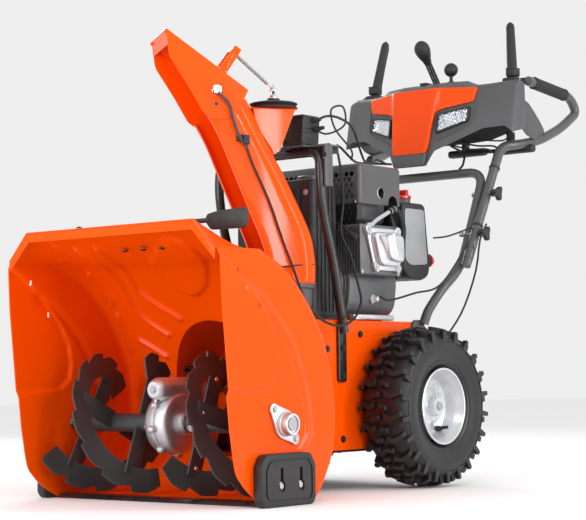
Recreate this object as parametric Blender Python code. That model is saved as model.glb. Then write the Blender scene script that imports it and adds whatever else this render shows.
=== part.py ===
"""Two-stage snow blower: auger housing, impeller, chute, wheels, engine unit and handle console.

Lengths are metres. X runs across the machine (+X is the operator's left when facing the intake),
the intake faces -Y, Z is up and the ground is z = 0. Shapes are drawn from the wheel axle, under
one empty that carries the whole machine to its place.
"""

import math

import bmesh
import bpy
from mathutils import Matrix, Vector

for item in list(bpy.data.objects):
    bpy.data.objects.remove(item)

# Whole machine
AXLE_Y = 0.0874
GAP = 0.0004
SHEET = 0.003

# Auger housing
HOUSING_HALF = 0.305
PANEL = 0.004
FRONT_Y = -0.852
ROOF_Z = 0.585
CORNER_X = 0.245
CORNER_Z = 0.525
AUGER_Y = -0.647
AUGER_Z = 0.167
AUGER_R = 0.1525
RIBBON_IN = 0.108

# Impeller
IMPELLER_Z = 0.24
DRUM_R = 0.152
DRUM_BACK_Y = -0.331

# Chute
CHUTE_X = 0.087
CHUTE_Y = -0.400
CHUTE_YAW = math.radians(35)
CHUTE_HALF = 0.075
PULLEY_Z = 0.872

# Wheels and frame
WHEEL_R = 0.1905
WHEEL_X = 0.215
FRAME_HALF = 0.1415
FRAME_FRONT = -0.3305
FRAME_REAR = 0.075
FRAME_LOW = 0.092
FRAME_TOP = 0.395

# Drive line
CRANK_Z = 0.56
CRANK_R = 0.035
AUGER_PULLEY_R = 0.090
BELT_Y = -0.286
DISC_Y = -0.1285
LAY_Y = -0.060
LAY_Z = 0.258

# Handle console
DASH_LOW_Z = 0.836
GRIP_X = 0.262
TUBE_R = 0.0125

machine = bpy.data.objects.new("machine", None)
machine.location = (0, AXLE_Y, 0)
bpy.context.collection.objects.link(machine)


def material(name, colour, roughness, metallic=0.0):
    made = bpy.data.materials.new(name)
    made.use_nodes = True
    shader = made.node_tree.nodes["Principled BSDF"]
    shader.inputs["Base Color"].default_value = (*colour, 1)
    shader.inputs["Roughness"].default_value = roughness
    shader.inputs["Metallic"].default_value = metallic
    return made


ORANGE = material("orange_paint", (0.90, 0.13, 0.01), 0.35)
ORANGE_PLASTIC = material("orange_plastic", (0.88, 0.12, 0.01), 0.3)
BLACK_PAINT = material("black_paint", (0.02, 0.02, 0.02), 0.4)
GREY_PAINT = material("grey_paint", (0.10, 0.10, 0.11), 0.4)
BLACK_PLASTIC = material("black_plastic", (0.02, 0.02, 0.02), 0.5)
GREY_PLASTIC = material("grey_plastic", (0.09, 0.09, 0.10), 0.45)
STEEL = material("steel", (0.55, 0.55, 0.56), 0.35, 1.0)
ALUMINIUM = material("cast_aluminium", (0.68, 0.68, 0.70), 0.4, 1.0)
SILVER_PAINT = material("silver_paint", (0.62, 0.63, 0.65), 0.35, 0.6)
RUBBER = material("rubber", (0.018, 0.018, 0.018), 0.75)
LENS = material("clear_lens", (0.85, 0.88, 0.92), 0.1)
RED = material("red_plastic", (0.65, 0.02, 0.02), 0.35)


def place(name, bm, look, origin=(0, 0, 0)):
    """A closed mesh becomes a named object whose origin is the given point."""
    bmesh.ops.recalc_face_normals(bm, faces=bm.faces)
    bmesh.ops.translate(bm, verts=bm.verts, vec=-Vector(origin))
    mesh = bpy.data.meshes.new(name)
    bm.to_mesh(mesh)
    bm.free()
    mesh.materials.append(look)
    mesh.shade_smooth()
    mesh.set_sharp_from_angle(angle=math.radians(35))
    thing = bpy.data.objects.new(name, mesh)
    thing.location = origin
    thing.parent = machine
    bpy.context.collection.objects.link(thing)
    return thing


def boolean(target, operation, *tools):
    for tool in tools:
        tool.hide_render = True
        tool.display_type = "WIRE"
        step = target.modifiers.new(tool.name, "BOOLEAN")
        step.operation = operation
        step.solver = "EXACT"
        step.object = tool
    return target


def cut(target, *tools):
    return boolean(target, "DIFFERENCE", *tools)


def unite(target, *tools):
    return boolean(target, "UNION", *tools)


def prism(outline, axis, low, high):
    """An outline in the two other axes, taken from low to high along one axis."""
    def point(a, b, t):
        return {"x": (t, a, b), "y": (a, t, b), "z": (a, b, t)}[axis]

    bm = bmesh.new()
    face = bm.faces.new([bm.verts.new(point(a, b, low)) for a, b in outline])
    made = bmesh.ops.extrude_face_region(bm, geom=[face])
    moved = [v for v in made["geom"] if isinstance(v, bmesh.types.BMVert)]
    bmesh.ops.translate(bm, verts=moved, vec=Vector(point(0, 0, high - low)))
    return bm


def block(low, high, bevel=0.0):
    bm = bmesh.new()
    bmesh.ops.create_cube(bm, size=1)
    size = [b - a for a, b in zip(low, high)]
    middle = [(a + b) / 2 for a, b in zip(low, high)]
    bmesh.ops.scale(bm, verts=bm.verts, vec=size)
    bmesh.ops.translate(bm, verts=bm.verts, vec=middle)
    if bevel:
        bmesh.ops.bevel(bm, geom=bm.edges[:], offset=bevel, segments=2, affect="EDGES", profile=0.5)
    return bm


def turned(profile, axis, centre=(0, 0, 0), steps=18):
    """A closed outline of (radius, distance along the axis) turned round that axis."""
    bm = bmesh.new()
    rings = []
    for i in range(steps):
        a = 2 * math.pi * i / steps
        c, s = math.cos(a), math.sin(a)
        ring = []
        for r, t in profile:
            spot = {"x": (t, r * c, r * s), "y": (r * s, t, r * c), "z": (r * c, r * s, t)}[axis]
            ring.append(bm.verts.new(Vector(spot) + Vector(centre)))
        rings.append(ring)
    for i in range(steps):
        near, far = rings[i], rings[(i + 1) % steps]
        for j in range(len(profile)):
            k = (j + 1) % len(profile)
            bm.faces.new((near[j], near[k], far[k], far[j]))
    bmesh.ops.remove_doubles(bm, verts=bm.verts, dist=1e-6)
    loose = [e for e in bm.edges if not e.link_faces]
    bmesh.ops.delete(bm, geom=loose, context="EDGES")
    return bm


def rod(radius, axis, low, high, centre=(0, 0, 0), bore=0.0, steps=18):
    """A round bar, or a sleeve where a bore is given."""
    if bore:
        return turned([(bore, low), (radius, low), (radius, high), (bore, high)], axis, centre, steps)
    bm = bmesh.new()
    bmesh.ops.create_cone(bm, cap_ends=True, segments=steps, radius1=radius, radius2=radius,
                          depth=high - low)
    turn = {"x": Matrix.Rotation(math.pi / 2, 3, "Y"), "y": Matrix.Rotation(math.pi / 2, 3, "X"),
            "z": Matrix.Identity(3)}[axis]
    bmesh.ops.rotate(bm, verts=bm.verts, cent=(0, 0, 0), matrix=turn)
    middle = Vector(centre)
    middle["xyz".index(axis)] += (low + high) / 2
    bmesh.ops.translate(bm, verts=bm.verts, vec=middle)
    return bm


def rounded_path(points, radius, steps=3):
    """A polyline whose corners become short curves."""
    spots = [Vector(p) for p in points]
    path = [spots[0]]
    for before, corner, after in zip(spots, spots[1:], spots[2:]):
        reach = min(radius, (before - corner).length * 0.48, (after - corner).length * 0.48)
        start = corner + (before - corner).normalized() * reach
        end = corner + (after - corner).normalized() * reach
        for i in range(steps + 1):
            t = i / steps
            path.append(start * (1 - t) ** 2 + corner * 2 * t * (1 - t) + end * t ** 2)
    path.append(spots[-1])
    return path


def smooth_path(points, per_span=4):
    """A smooth curve through every point of a route."""
    spots = [Vector(p) for p in points]
    ends = [spots[0] * 2 - spots[1]] + spots + [spots[-1] * 2 - spots[-2]]
    path = []
    for a, b, c, d in zip(ends, ends[1:], ends[2:], ends[3:]):
        for i in range(per_span):
            t = i / per_span
            path.append(
                (b * 2 + (c - a) * t + (a * 2 - b * 5 + c * 4 - d) * t ** 2
                 + (b * 3 - a - c * 3 + d) * t ** 3) / 2
            )
    path.append(spots[-1])
    return path


def tube(path, radius, sides=8):
    """A round bar swept along a path, with flat ends."""
    bm = bmesh.new()
    rings = []
    side = None
    for i, spot in enumerate(path):
        ahead = path[min(i + 1, len(path) - 1)] - path[max(i - 1, 0)]
        ahead.normalize()
        if side is None:
            side = ahead.orthogonal().normalized()
        side = (side - ahead * side.dot(ahead)).normalized()
        up = ahead.cross(side)
        ring = []
        for k in range(sides):
            a = 2 * math.pi * k / sides
            ring.append(bm.verts.new(spot + (side * math.cos(a) + up * math.sin(a)) * radius))
        rings.append(ring)
    for near, far in zip(rings, rings[1:]):
        for k in range(sides):
            m = (k + 1) % sides
            bm.faces.new((near[k], near[m], far[m], far[k]))
    bm.faces.new(rings[0])
    bm.faces.new(rings[-1])
    return bm


def strip(rows, closed_ends=False):
    """A sheet made of rows of points, to be thickened by a Solidify modifier."""
    bm = bmesh.new()
    grid = [[bm.verts.new(p) for p in row] for row in rows]
    for near, far in zip(grid, grid[1:]):
        for k in range(len(near) - 1):
            bm.faces.new((near[k], near[k + 1], far[k + 1], far[k]))
    if closed_ends:
        bm.faces.new(grid[0])
        bm.faces.new(grid[-1])
    return bm


def thicken(thing, thickness, offset=-1.0):
    step = thing.modifiers.new("thickness", "SOLIDIFY")
    step.thickness = thickness
    step.offset = offset
    step.use_even_offset = True
    return thing


def cable(name, points, radius):
    """A cable as a curve with a round section and filled caps."""
    path = smooth_path(points, 3)
    curve = bpy.data.curves.new(name, "CURVE")
    curve.dimensions = "3D"
    curve.bevel_depth = radius
    curve.bevel_resolution = 2
    curve.use_fill_caps = True
    spline = curve.splines.new("POLY")
    spline.points.add(len(path) - 1)
    for slot, spot in zip(spline.points, path):
        slot.co = (*spot, 1)
    curve.materials.append(BLACK_PLASTIC)
    thing = bpy.data.objects.new(name, curve)
    thing.parent = machine
    bpy.context.collection.objects.link(thing)
    return thing


def mirrored(outline):
    return [(-a, b) for a, b in reversed(outline)]


def arc(centre, radius, start, end, steps):
    """Points (a, b) of an arc, angles in degrees."""
    found = []
    for i in range(steps + 1):
        a = math.radians(start + (end - start) * i / steps)
        found.append((centre[0] + radius * math.cos(a), centre[1] + radius * math.sin(a)))
    return found


# ---- auger housing ----

# Outer line of the wrap in (y, z), from the roof's front edge round to the scraper edge.
WRAP_LINE = [
    (FRONT_Y, ROOF_Z), (-0.709, 0.528), (-0.655, 0.506), (-0.600, 0.468), (-0.545, 0.413),
    (-0.505, 0.353), (-0.478, 0.293), (-0.465, 0.230), (-0.4615, 0.167), (-0.467, 0.120),
    (-0.482, 0.080), (-0.509, 0.040), (-0.545, 0.013), (-0.580, 0.0065), (-0.660, 0.0065),
]


def wrap_rows():
    """The wrap's outer surface, with the roof's front corners cut down to the panels."""
    rows = []
    for x in (-HOUSING_HALF + PANEL + GAP, -CORNER_X, CORNER_X, HOUSING_HALF - PANEL - GAP):
        row = []
        for y, z in WRAP_LINE:
            if abs(x) > CORNER_X and y < -0.70:
                z = CORNER_Z - 0.002 * (y - FRONT_Y) / 0.14
            row.append(Vector((x, y, z)))
        rows.append(row)
    return rows


def housing_wrap():
    wrap = thicken(place("housing_wrap", strip(wrap_rows()), ORANGE), SHEET, -1.0)
    lip_outline = [
        (-CORNER_X, ROOF_Z), (CORNER_X, ROOF_Z), (0.3004, CORNER_Z), (0.3004, CORNER_Z - 0.025),
        (CORNER_X - 0.006, ROOF_Z - 0.022), (-CORNER_X + 0.006, ROOF_Z - 0.022),
        (-0.3004, CORNER_Z - 0.025), (-0.3004, CORNER_Z),
    ]
    lip = place("wrap_lip", prism(lip_outline, "y", FRONT_Y, FRONT_Y + SHEET), ORANGE)
    unite(wrap, lip)
    mouth = place("wrap_mouth", rod(DRUM_R, "y", -0.60, -0.30, (0, 0, IMPELLER_Z), steps=32), ORANGE)
    cut(wrap, mouth)
    return wrap


def panel_outline():
    """Side panel in (y, z), a little outside the wrap all round."""
    rear = [
        (-0.709, 0.527), (-0.655, 0.508), (-0.598, 0.471), (-0.542, 0.415), (-0.502, 0.355),
        (-0.475, 0.294), (-0.462, 0.230), (-0.4585, 0.167), (-0.464, 0.119), (-0.479, 0.078),
        (-0.507, 0.037), (-0.544, 0.0095),
    ]
    bottom = [(-0.580, 0.003), (-0.692, 0.002), (-0.719, 0.009), (-0.755, 0.030), (-0.779, 0.051)]
    front = [(-0.798, 0.079), (-0.814, 0.160), (-0.822, 0.232), (-0.841, 0.418), (-0.846, CORNER_Z)]
    return rear + bottom + front


def side_panel(name, side):
    inner = side * (HOUSING_HALF - PANEL)
    outer = side * HOUSING_HALF
    panel = place(name, prism(panel_outline(), "x", min(inner, outer), max(inner, outer)), ORANGE)
    hole = place(name + "_hole", rod(0.024, "x", -0.32, 0.32, (0, AUGER_Y, AUGER_Z)), ORANGE)
    return cut(panel, hole)


def scraper_bar():
    line = [(-0.6605, 0.0005), (-0.6605, 0.0095), (-0.700, 0.0095), (-0.712, 0.0005)]
    return place("scraper_bar", prism(line, "x", -0.2990, 0.2990), BLACK_PAINT)


def impeller_housing():
    """Drum behind the wrap and the spout that leads up to the chute."""
    drum = place("impeller_housing",
                 rod(DRUM_R + SHEET, "y", -0.560, DRUM_BACK_Y, (0, 0, IMPELLER_Z), steps=36), ORANGE)
    line = [(y + 0.0006, z) for y, z in WRAP_LINE[1:-2]]
    bucket = place("bucket_space", prism(line + [(-0.9, 0.0), (-0.9, 0.55)], "x", -0.31, 0.31), ORANGE)
    spout = place("spout_outer", rod(0.0648, "z", IMPELLER_Z - 0.02, 0.428, (CHUTE_X, CHUTE_Y, 0)), ORANGE)
    bore = place("drum_bore", rod(DRUM_R, "y", -0.600, DRUM_BACK_Y - SHEET, (0, 0, IMPELLER_Z), steps=36),
                 ORANGE)
    throat = place("spout_bore", rod(0.0618, "z", IMPELLER_Z - 0.01, 0.45, (CHUTE_X, CHUTE_Y, 0)), ORANGE)
    shaft = place("shaft_hole", rod(0.0135, "y", -0.40, -0.30, (0, 0, IMPELLER_Z)), ORANGE)
    cut(drum, bucket)
    unite(drum, spout)
    unite(bore, throat)
    return cut(drum, bore, shaft)


def chute_collar():
    profile = [
        (0.0656, 0.397), (0.076, 0.397), (0.083, 0.432), (0.083, 0.462), (0.0885, 0.464),
        (0.0885, 0.472), (0.0656, 0.472),
    ]
    return place("chute_collar", turned(profile, "z", (CHUTE_X, CHUTE_Y, 0), 24), GREY_PLASTIC)


def bearing(name, side):
    """Two-bolt flange bearing on the outside of a side panel."""
    ends = [(-0.034, 0.031), (0.034, -0.031)]
    outline = []
    for (dy, dz), start in zip(ends, (45, 225)):
        outline += arc((dy, dz), 0.012, start, start + 180, 5)
        turn = arc((0, 0), 0.029, start + 150, start + 210, 3)
        outline += turn
    outline = [(AUGER_Y + a, AUGER_Z + b) for a, b in outline]
    low, high = sorted((side * (HOUSING_HALF + GAP), side * (HOUSING_HALF + 0.006)))
    flange = place(name, prism(outline, "x", low, high), ALUMINIUM)
    low, high = sorted((side * (HOUSING_HALF + 0.001), side * 0.335))
    hub = place(name + "_hub", rod(0.023, "x", low, high, (0, AUGER_Y, AUGER_Z)), ALUMINIUM)
    bore = place(name + "_bore", rod(0.0133, "x", -0.35, 0.35, (0, AUGER_Y, AUGER_Z)), ALUMINIUM)
    unite(flange, hub)
    return cut(flange, bore)


def skid(name, side):
    """Adjustable skid shoe with two slots, sliding on the side panel."""
    outline = [(-0.745, 0.0), (-0.567, 0.0), (-0.567, 0.085), (-0.585, 0.108), (-0.727, 0.108),
               (-0.745, 0.085)]
    low, high = sorted((side * (HOUSING_HALF + GAP), side * 0.330))
    shoe = place(name, prism(outline, "x", low, high), BLACK_PLASTIC)
    for n, y in enumerate((-0.680, -0.617)):
        slot = place(f"{name}_slot_{n}", block((-0.35, y - 0.0055, 0.034), (0.35, y + 0.0055, 0.080)),
                     BLACK_PLASTIC)
        cut(shoe, slot)
    return shoe


# ---- auger and gearbox ----


def gearbox():
    case = place("gearbox", rod(0.067, "x", -0.031, 0.031, (0, AUGER_Y, AUGER_Z), steps=24), ALUMINIUM)
    worm_case = place("worm_case", rod(0.026, "y", -0.712, -0.560, (0, 0, IMPELLER_Z)), ALUMINIUM)
    boss = place("shaft_bosses", rod(0.026, "x", -0.046, 0.046, (0, AUGER_Y, AUGER_Z)), ALUMINIUM)
    room = place("gear_room", rod(0.060, "x", -0.024, 0.024, (0, AUGER_Y, AUGER_Z), steps=24), ALUMINIUM)
    worm_line = [(0, -0.704), (0.019, -0.704), (0.019, -0.572), (0.0105, -0.572), (0.0105, -0.52), (0, -0.52)]
    worm_room = place("worm_room", turned(worm_line, "y", (0, 0, IMPELLER_Z), 20), ALUMINIUM)
    bore = place("gearbox_bore", rod(0.0133, "x", -0.08, 0.08, (0, AUGER_Y, AUGER_Z)), ALUMINIUM)
    unite(case, worm_case, boss)
    return cut(case, room, worm_room, bore)


def auger_shaft():
    """Cross shaft with the worm wheel keyed to its middle."""
    profile = [
        (0, -0.332), (0.0127, -0.332), (0.0127, -0.012), (0.056, -0.012), (0.056, 0.012),
        (0.0127, 0.012), (0.0127, 0.332), (0, 0.332),
    ]
    return place("auger_shaft", turned(profile, "x", (0, AUGER_Y, AUGER_Z)), STEEL,
                 (0, AUGER_Y, AUGER_Z))


def ribbon(name, x0, x1, start, turn, steps=20):
    """Helical blade with a notched outer edge."""
    rows = []
    for i in range(steps + 1):
        t = i / steps
        a = math.radians(start + turn * t)
        x = x0 + (x1 - x0) * t
        outer = AUGER_R - (0.009 if i % 4 >= 2 else 0.0)
        rows.append([
            Vector((x, AUGER_Y + r * math.cos(a), AUGER_Z + r * math.sin(a)))
            for r in (RIBBON_IN, outer)
        ])
    return thicken(place(name, strip(rows), BLACK_PAINT), 0.003, 0.0)


def auger(name, side, lead):
    """One side's auger: a tube on the shaft, two ribbons and their arms."""
    ends = sorted((side * 0.050, side * 0.292))
    body = place(name, rod(0.020, "x", *ends, (0, AUGER_Y, AUGER_Z), bore=0.0131), BLACK_PAINT,
                 (0, AUGER_Y, AUGER_Z))
    for n in range(2):
        start = lead + 180 * n
        turn = side * 250
        blade = ribbon(f"{name}_ribbon_{n}", side * 0.066, side * 0.278, start, turn)
        unite(body, blade)
        for m, t in enumerate((0.12, 0.5, 0.88)):
            a = start + turn * t
            x = side * (0.066 + 0.212 * t)
            arm_mesh = block((x - 0.0022, 0.017, -0.015), (x + 0.0022, 0.118, 0.015))
            bmesh.ops.rotate(arm_mesh, verts=arm_mesh.verts, cent=(0, 0, 0),
                             matrix=Matrix.Rotation(math.radians(a), 3, "X"))
            bmesh.ops.translate(arm_mesh, verts=arm_mesh.verts, vec=(0, AUGER_Y, AUGER_Z))
            unite(body, place(f"{name}_arm_{n}{m}", arm_mesh, BLACK_PAINT))
    return body


# ---- impeller ----


def impeller_shaft():
    """Shaft with the worm on its front end."""
    profile = [
        (0, -0.700), (0.0095, -0.700), (0.0095, -0.680), (0.0155, -0.678), (0.0155, -0.616),
        (0.0095, -0.614), (0.0095, -0.274), (0, -0.274),
    ]
    return place("impeller_shaft", turned(profile, "y", (0, 0, IMPELLER_Z)), STEEL, (0, 0, IMPELLER_Z))


def impeller():
    """Hub with four blades and stiffening ribs."""
    hub = place("impeller", rod(0.021, "y", -0.462, -0.350, (0, 0, IMPELLER_Z), bore=0.0099),
                BLACK_PAINT, (0, 0, IMPELLER_Z))
    for n in range(4):
        blade = block((0.016, -0.458, -0.002), (0.1485, -0.362, 0.002))
        rib = block((0.016, -0.366, -0.002), (0.110, -0.362, 0.030))
        for part, mesh in (("blade", blade), ("rib", rib)):
            bmesh.ops.rotate(mesh, verts=mesh.verts, cent=(0, 0, 0),
                             matrix=Matrix.Rotation(math.radians(90 * n + 20), 3, "Y"))
            bmesh.ops.translate(mesh, verts=mesh.verts, vec=(0, 0, IMPELLER_Z))
            unite(hub, place(f"impeller_{part}_{n}", mesh, BLACK_PAINT))
    return hub


def pulley_profile(radius, middle, half, bore):
    groove = radius - 0.010
    return [
        (bore, middle - half), (radius, middle - half), (radius, middle - half + 0.0015),
        (groove, middle), (radius, middle + half - 0.0015), (radius, middle + half),
        (bore, middle + half),
    ]


def auger_pulley():
    profile = pulley_profile(AUGER_PULLEY_R, BELT_Y, 0.008, 0.0098)
    return place("auger_pulley", turned(profile, "y", (0, 0, IMPELLER_Z), 22), STEEL, (0, 0, IMPELLER_Z))


def engine_pulley():
    """Crank stub with its two belt grooves."""
    profile = [
        (0, BELT_Y - 0.008), (CRANK_R, BELT_Y - 0.008), (CRANK_R, BELT_Y - 0.0065),
        (CRANK_R - 0.010, BELT_Y), (CRANK_R, BELT_Y + 0.0065), (CRANK_R, BELT_Y + 0.016),
        (CRANK_R - 0.010, BELT_Y + 0.0215), (CRANK_R, BELT_Y + 0.028), (CRANK_R, BELT_Y + 0.030),
        (0.0125, BELT_Y + 0.030), (0.0125, -0.160), (0, -0.160),
    ]
    return place("engine_pulley", turned(profile, "y", (0, 0, CRANK_Z)), STEEL, (0, 0, CRANK_Z))


def belt_outline(low_z, low_r, high_z, high_r):
    """Outline of a belt round two pulleys, one above the other."""
    lean = math.degrees(math.asin((low_r - high_r) / (high_z - low_z)))
    top = arc((0, high_z), high_r, lean, 180 - lean, 10)
    bottom = arc((0, low_z), low_r, 180 - lean, 360 + lean, 16)
    return top + bottom


def auger_belt():
    """Belt in the outer part of its two grooves."""
    seat = 0.0045
    outer = belt_outline(IMPELLER_Z, AUGER_PULLEY_R + 0.002, CRANK_Z, CRANK_R + 0.002)
    inner = belt_outline(IMPELLER_Z, AUGER_PULLEY_R - seat, CRANK_Z, CRANK_R - seat)
    belt = place("auger_belt", prism(outer, "y", BELT_Y - 0.0018, BELT_Y + 0.0018), RUBBER)
    hole = place("belt_inside", prism(inner, "y", BELT_Y - 0.02, BELT_Y + 0.02), RUBBER)
    return cut(belt, hole)


# ---- frame, wheels and drive ----


def frame_shell():
    """Folded sheet box with the gearing inside, open underneath."""
    box = place("frame_shell", block((-FRAME_HALF, FRAME_FRONT, FRAME_LOW),
                                     (FRAME_HALF, FRAME_REAR, FRAME_TOP)), ORANGE)
    inside = place("frame_inside", block((-FRAME_HALF + SHEET, FRAME_FRONT + SHEET, FRAME_LOW - 0.01),
                                         (FRAME_HALF - SHEET, FRAME_REAR - SHEET, FRAME_TOP - SHEET)),
                   ORANGE)
    slot = place("belt_slot", block((-0.104, -0.3000, FRAME_TOP - 0.02), (0.104, -0.240, FRAME_TOP + 0.02)),
                 ORANGE)
    axle_hole = place("axle_hole", rod(0.0105, "x", -0.2, 0.2, (0, 0, WHEEL_R)), ORANGE)
    shaft_hole = place("frame_shaft_hole", rod(0.013, "y", -0.36, -0.31, (0, 0, IMPELLER_Z)), ORANGE)
    return cut(box, inside, slot, axle_hole, shaft_hole)


def frame_cover():
    return place("frame_bottom_cover",
                 block((-0.140, FRAME_FRONT + 0.002, FRAME_LOW - 0.0034),
                       (0.140, FRAME_REAR - 0.002, FRAME_LOW - GAP)), BLACK_PAINT)


def axle():
    """Axle with its driven gear."""
    profile = [
        (0, -0.262), (0.0095, -0.262), (0.0095, 0.092), (0.070, 0.092), (0.070, 0.104),
        (0.0095, 0.104), (0.0095, 0.262), (0, 0.262),
    ]
    return place("axle", turned(profile, "x", (0, 0, WHEEL_R), 22), STEEL, (0, 0, WHEEL_R))


def lay_shaft():
    """Hexagonal shaft with its pinion and the friction wheel, along X."""
    profile = [
        (0, -0.132), (0.008, -0.132), (0.008, -0.006), (0.060, -0.006), (0.060, 0.006),
        (0.008, 0.006), (0.008, 0.090), (0.0192, 0.090), (0.0192, 0.106), (0.008, 0.106),
        (0.008, 0.132), (0, 0.132),
    ]
    return place("hex_shaft", turned(profile, "x", (0, LAY_Y, LAY_Z), 18), STEEL, (0, LAY_Y, LAY_Z))


def drive_disc():
    """Friction disc, its shaft and its belt pulley."""
    profile = [
        (0, -0.2685), (0.058, -0.2685), (0.058, -0.2670), (0.048, -0.2620), (0.058, -0.2570),
        (0.058, -0.2555), (0.010, -0.2555), (0.010, DISC_Y), (0.085, DISC_Y),
        (0.085, DISC_Y + 0.0075), (0, DISC_Y + 0.0075),
    ]
    return place("drive_disc", turned(profile, "y", (0, 0, LAY_Z), 22), STEEL, (0, 0, LAY_Z))


def rim(name, side):
    profile = [
        (0.088, -0.057), (0.088, 0.057), (0.0845, 0.057), (0.060, 0.018), (0.022, 0.026),
        (0.022, 0.043), (0.0098, 0.043), (0.0098, -0.030), (0.020, -0.030), (0.020, 0.016),
        (0.058, 0.009), (0.081, 0.046), (0.0845, -0.057),
    ]
    profile = [(r, side * (WHEEL_X + t)) for r, t in profile]
    return place(name, turned(profile, "x", (0, 0, WHEEL_R), 24), SILVER_PAINT, (0, 0, WHEEL_R))


def tyre(name, side):
    """Tyre with lugs that alternate round its two shoulders."""
    half = [(0.0, 0.184), (0.045, 0.181), (0.065, 0.155), (0.062, 0.120), (0.045, 0.0885)]
    cavity = [(0.0395, 0.094), (0.052, 0.145), (0.036, 0.168)]
    outside = [(-u, r) for u, r in reversed(half[1:])] + half
    inside = cavity + [(-u, r) for u, r in reversed(cavity)]
    steps = 36
    bm = bmesh.new()
    rings = []
    for i in range(steps):
        a = 2 * math.pi * i / steps
        ring = []
        for u, r in outside + inside:
            if r > 0.180 and (u, r) in outside:
                raised = i % 2 == (0 if u > 0.001 else 1)
                r += 0.0065 if raised else -0.003
            spot = (side * (WHEEL_X + u), r * math.cos(a), WHEEL_R + r * math.sin(a))
            ring.append(bm.verts.new(spot))
        rings.append(ring)
    for i in range(steps):
        near, far = rings[i], rings[(i + 1) % steps]
        for j in range(len(near)):
            k = (j + 1) % len(near)
            bm.faces.new((near[j], near[k], far[k], far[j]))
    return place(name, bm, RUBBER, (0, 0, WHEEL_R))


# ---- engine ----


def engine_block():
    outline = [(-0.105, 0.3954), (0.085, 0.3954), (0.122, 0.425), (0.130, 0.500), (0.070, 0.600),
               (-0.090, 0.600), (-0.105, 0.580)]
    case = place("engine_block", prism(outline, "y", -0.180, 0.018), GREY_PAINT)
    barrel = place("cylinder", block((0.020, -0.180, 0.500), (0.1625, -0.020, 0.622)), GREY_PAINT)
    sump = place("crankcase_room", block((-0.092, -0.168, 0.408), (0.070, 0.006, 0.588)), GREY_PAINT)
    crank_hole = place("crank_hole", rod(0.0135, "y", -0.21, -0.150, (0, 0, CRANK_Z)), GREY_PAINT)
    unite(case, barrel)
    return cut(case, sump, crank_hole)


def valve_cover():
    return place("valve_cover", block((0.1630, -0.171, 0.507), (0.200, -0.025, 0.6190), 0.010), ALUMINIUM)


def muffler():
    can = place("muffler", block((-0.088, -0.138, 0.6225), (0.125, -0.012, 0.752), 0.012), GREY_PAINT)
    inside = place("muffler_room", block((-0.085, -0.135, 0.6255), (0.122, -0.015, 0.749), 0.010), GREY_PAINT)
    outlet = place("muffler_outlet", rod(0.011, "x", 0.10, 0.14, (0, -0.054, 0.690)), GREY_PAINT)
    return cut(can, inside, outlet)


def muffler_guard():
    """Sheet cover over the muffler, open underneath."""
    guard = place("muffler_guard", block((-0.100, -0.160, 0.667), (0.150, 0.010, 0.767), 0.006), GREY_PAINT)
    inside = place("guard_inside", block((-0.0975, -0.1575, 0.650), (0.1475, 0.0075, 0.7645), 0.005), GREY_PAINT)
    return cut(guard, inside)


def engine_shroud():
    """Fan and starter cover behind the engine, open towards it."""
    shroud = place("engine_shroud", block((-0.125, 0.0225, 0.430), (0.060, 0.118, 0.665), 0.012),
                   BLACK_PLASTIC)
    inside = place("shroud_inside", block((-0.122, 0.000, 0.433), (0.057, 0.115, 0.662), 0.010), BLACK_PLASTIC)
    return cut(shroud, inside)


def fuel_tank():
    outline = [(0.022, 0.520), (0.045, 0.500), (0.100, 0.496), (0.128, 0.508), (0.136, 0.530),
               (0.118, 0.680), (0.108, 0.687), (0.028, 0.687), (0.020, 0.680)]
    return place("fuel_tank", prism(outline, "x", 0.0605, 0.148), GREY_PLASTIC)


def fuel_cap():
    profile = [(0, 0.6875), (0.018, 0.6875), (0.018, 0.698), (0.026, 0.700), (0.026, 0.714),
               (0.020, 0.722), (0, 0.722)]
    return place("fuel_cap", turned(profile, "z", (0.105, 0.072, 0), 20), RED, (0.105, 0.072, 0.70))


def primer_button():
    profile = [(0, 0.1398), (0.012, 0.1398), (0.017, 0.1435), (0.017, 0.152), (0.010, 0.160), (0, 0.161)]
    return place("primer_button", turned(profile, "y", (0.134, 0, 0.548), 16), RED, (0.134, 0.150, 0.548))


def belt_cover():
    """Tall plastic cover over the belts, open at the bottom."""
    front, rear = -0.2985, -0.2005
    cover = place("belt_cover", block((-0.115, front, FRAME_TOP + 0.0005), (0.115, rear, 0.722), 0.008),
                  BLACK_PLASTIC)
    inside = place("cover_inside", block((-0.113, front + 0.002, FRAME_TOP - 0.02),
                                         (0.113, rear - 0.002, 0.720), 0.0075),
                   BLACK_PLASTIC)
    crank = place("cover_hole", rod(0.020, "y", -0.22, -0.18, (0, 0, CRANK_Z)), BLACK_PLASTIC)
    return cut(cover, inside, crank)


# ---- chute ----

FORWARD = Vector((-math.sin(CHUTE_YAW), -math.cos(CHUTE_YAW), 0))
ACROSS = Vector((math.cos(CHUTE_YAW), -math.sin(CHUTE_YAW), 0))
CHUTE_AXIS = Vector((CHUTE_X, CHUTE_Y, 0))


def chute_point(ahead, across, z):
    return CHUTE_AXIS + FORWARD * ahead + ACROSS * across + Vector((0, 0, z))


# Back and front of the chute's side in (distance ahead of the axis, height), bottom to top.
CHUTE_SECTIONS = [
    ((-0.083, 0.4760), (0.020, 0.4760)), ((-0.084, 0.520), (0.030, 0.505)),
    ((-0.076, 0.575), (0.051, 0.572)), ((-0.058, 0.622), (0.072, 0.622)),
    ((-0.037, 0.666), (0.092, 0.671)), ((-0.010, 0.722), (0.116, 0.728)),
    ((0.021, 0.779), (0.140, 0.786)), ((0.050, 0.838), (0.158, 0.822)),
    ((0.074, 0.889), (0.170, 0.842)),
]


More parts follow.
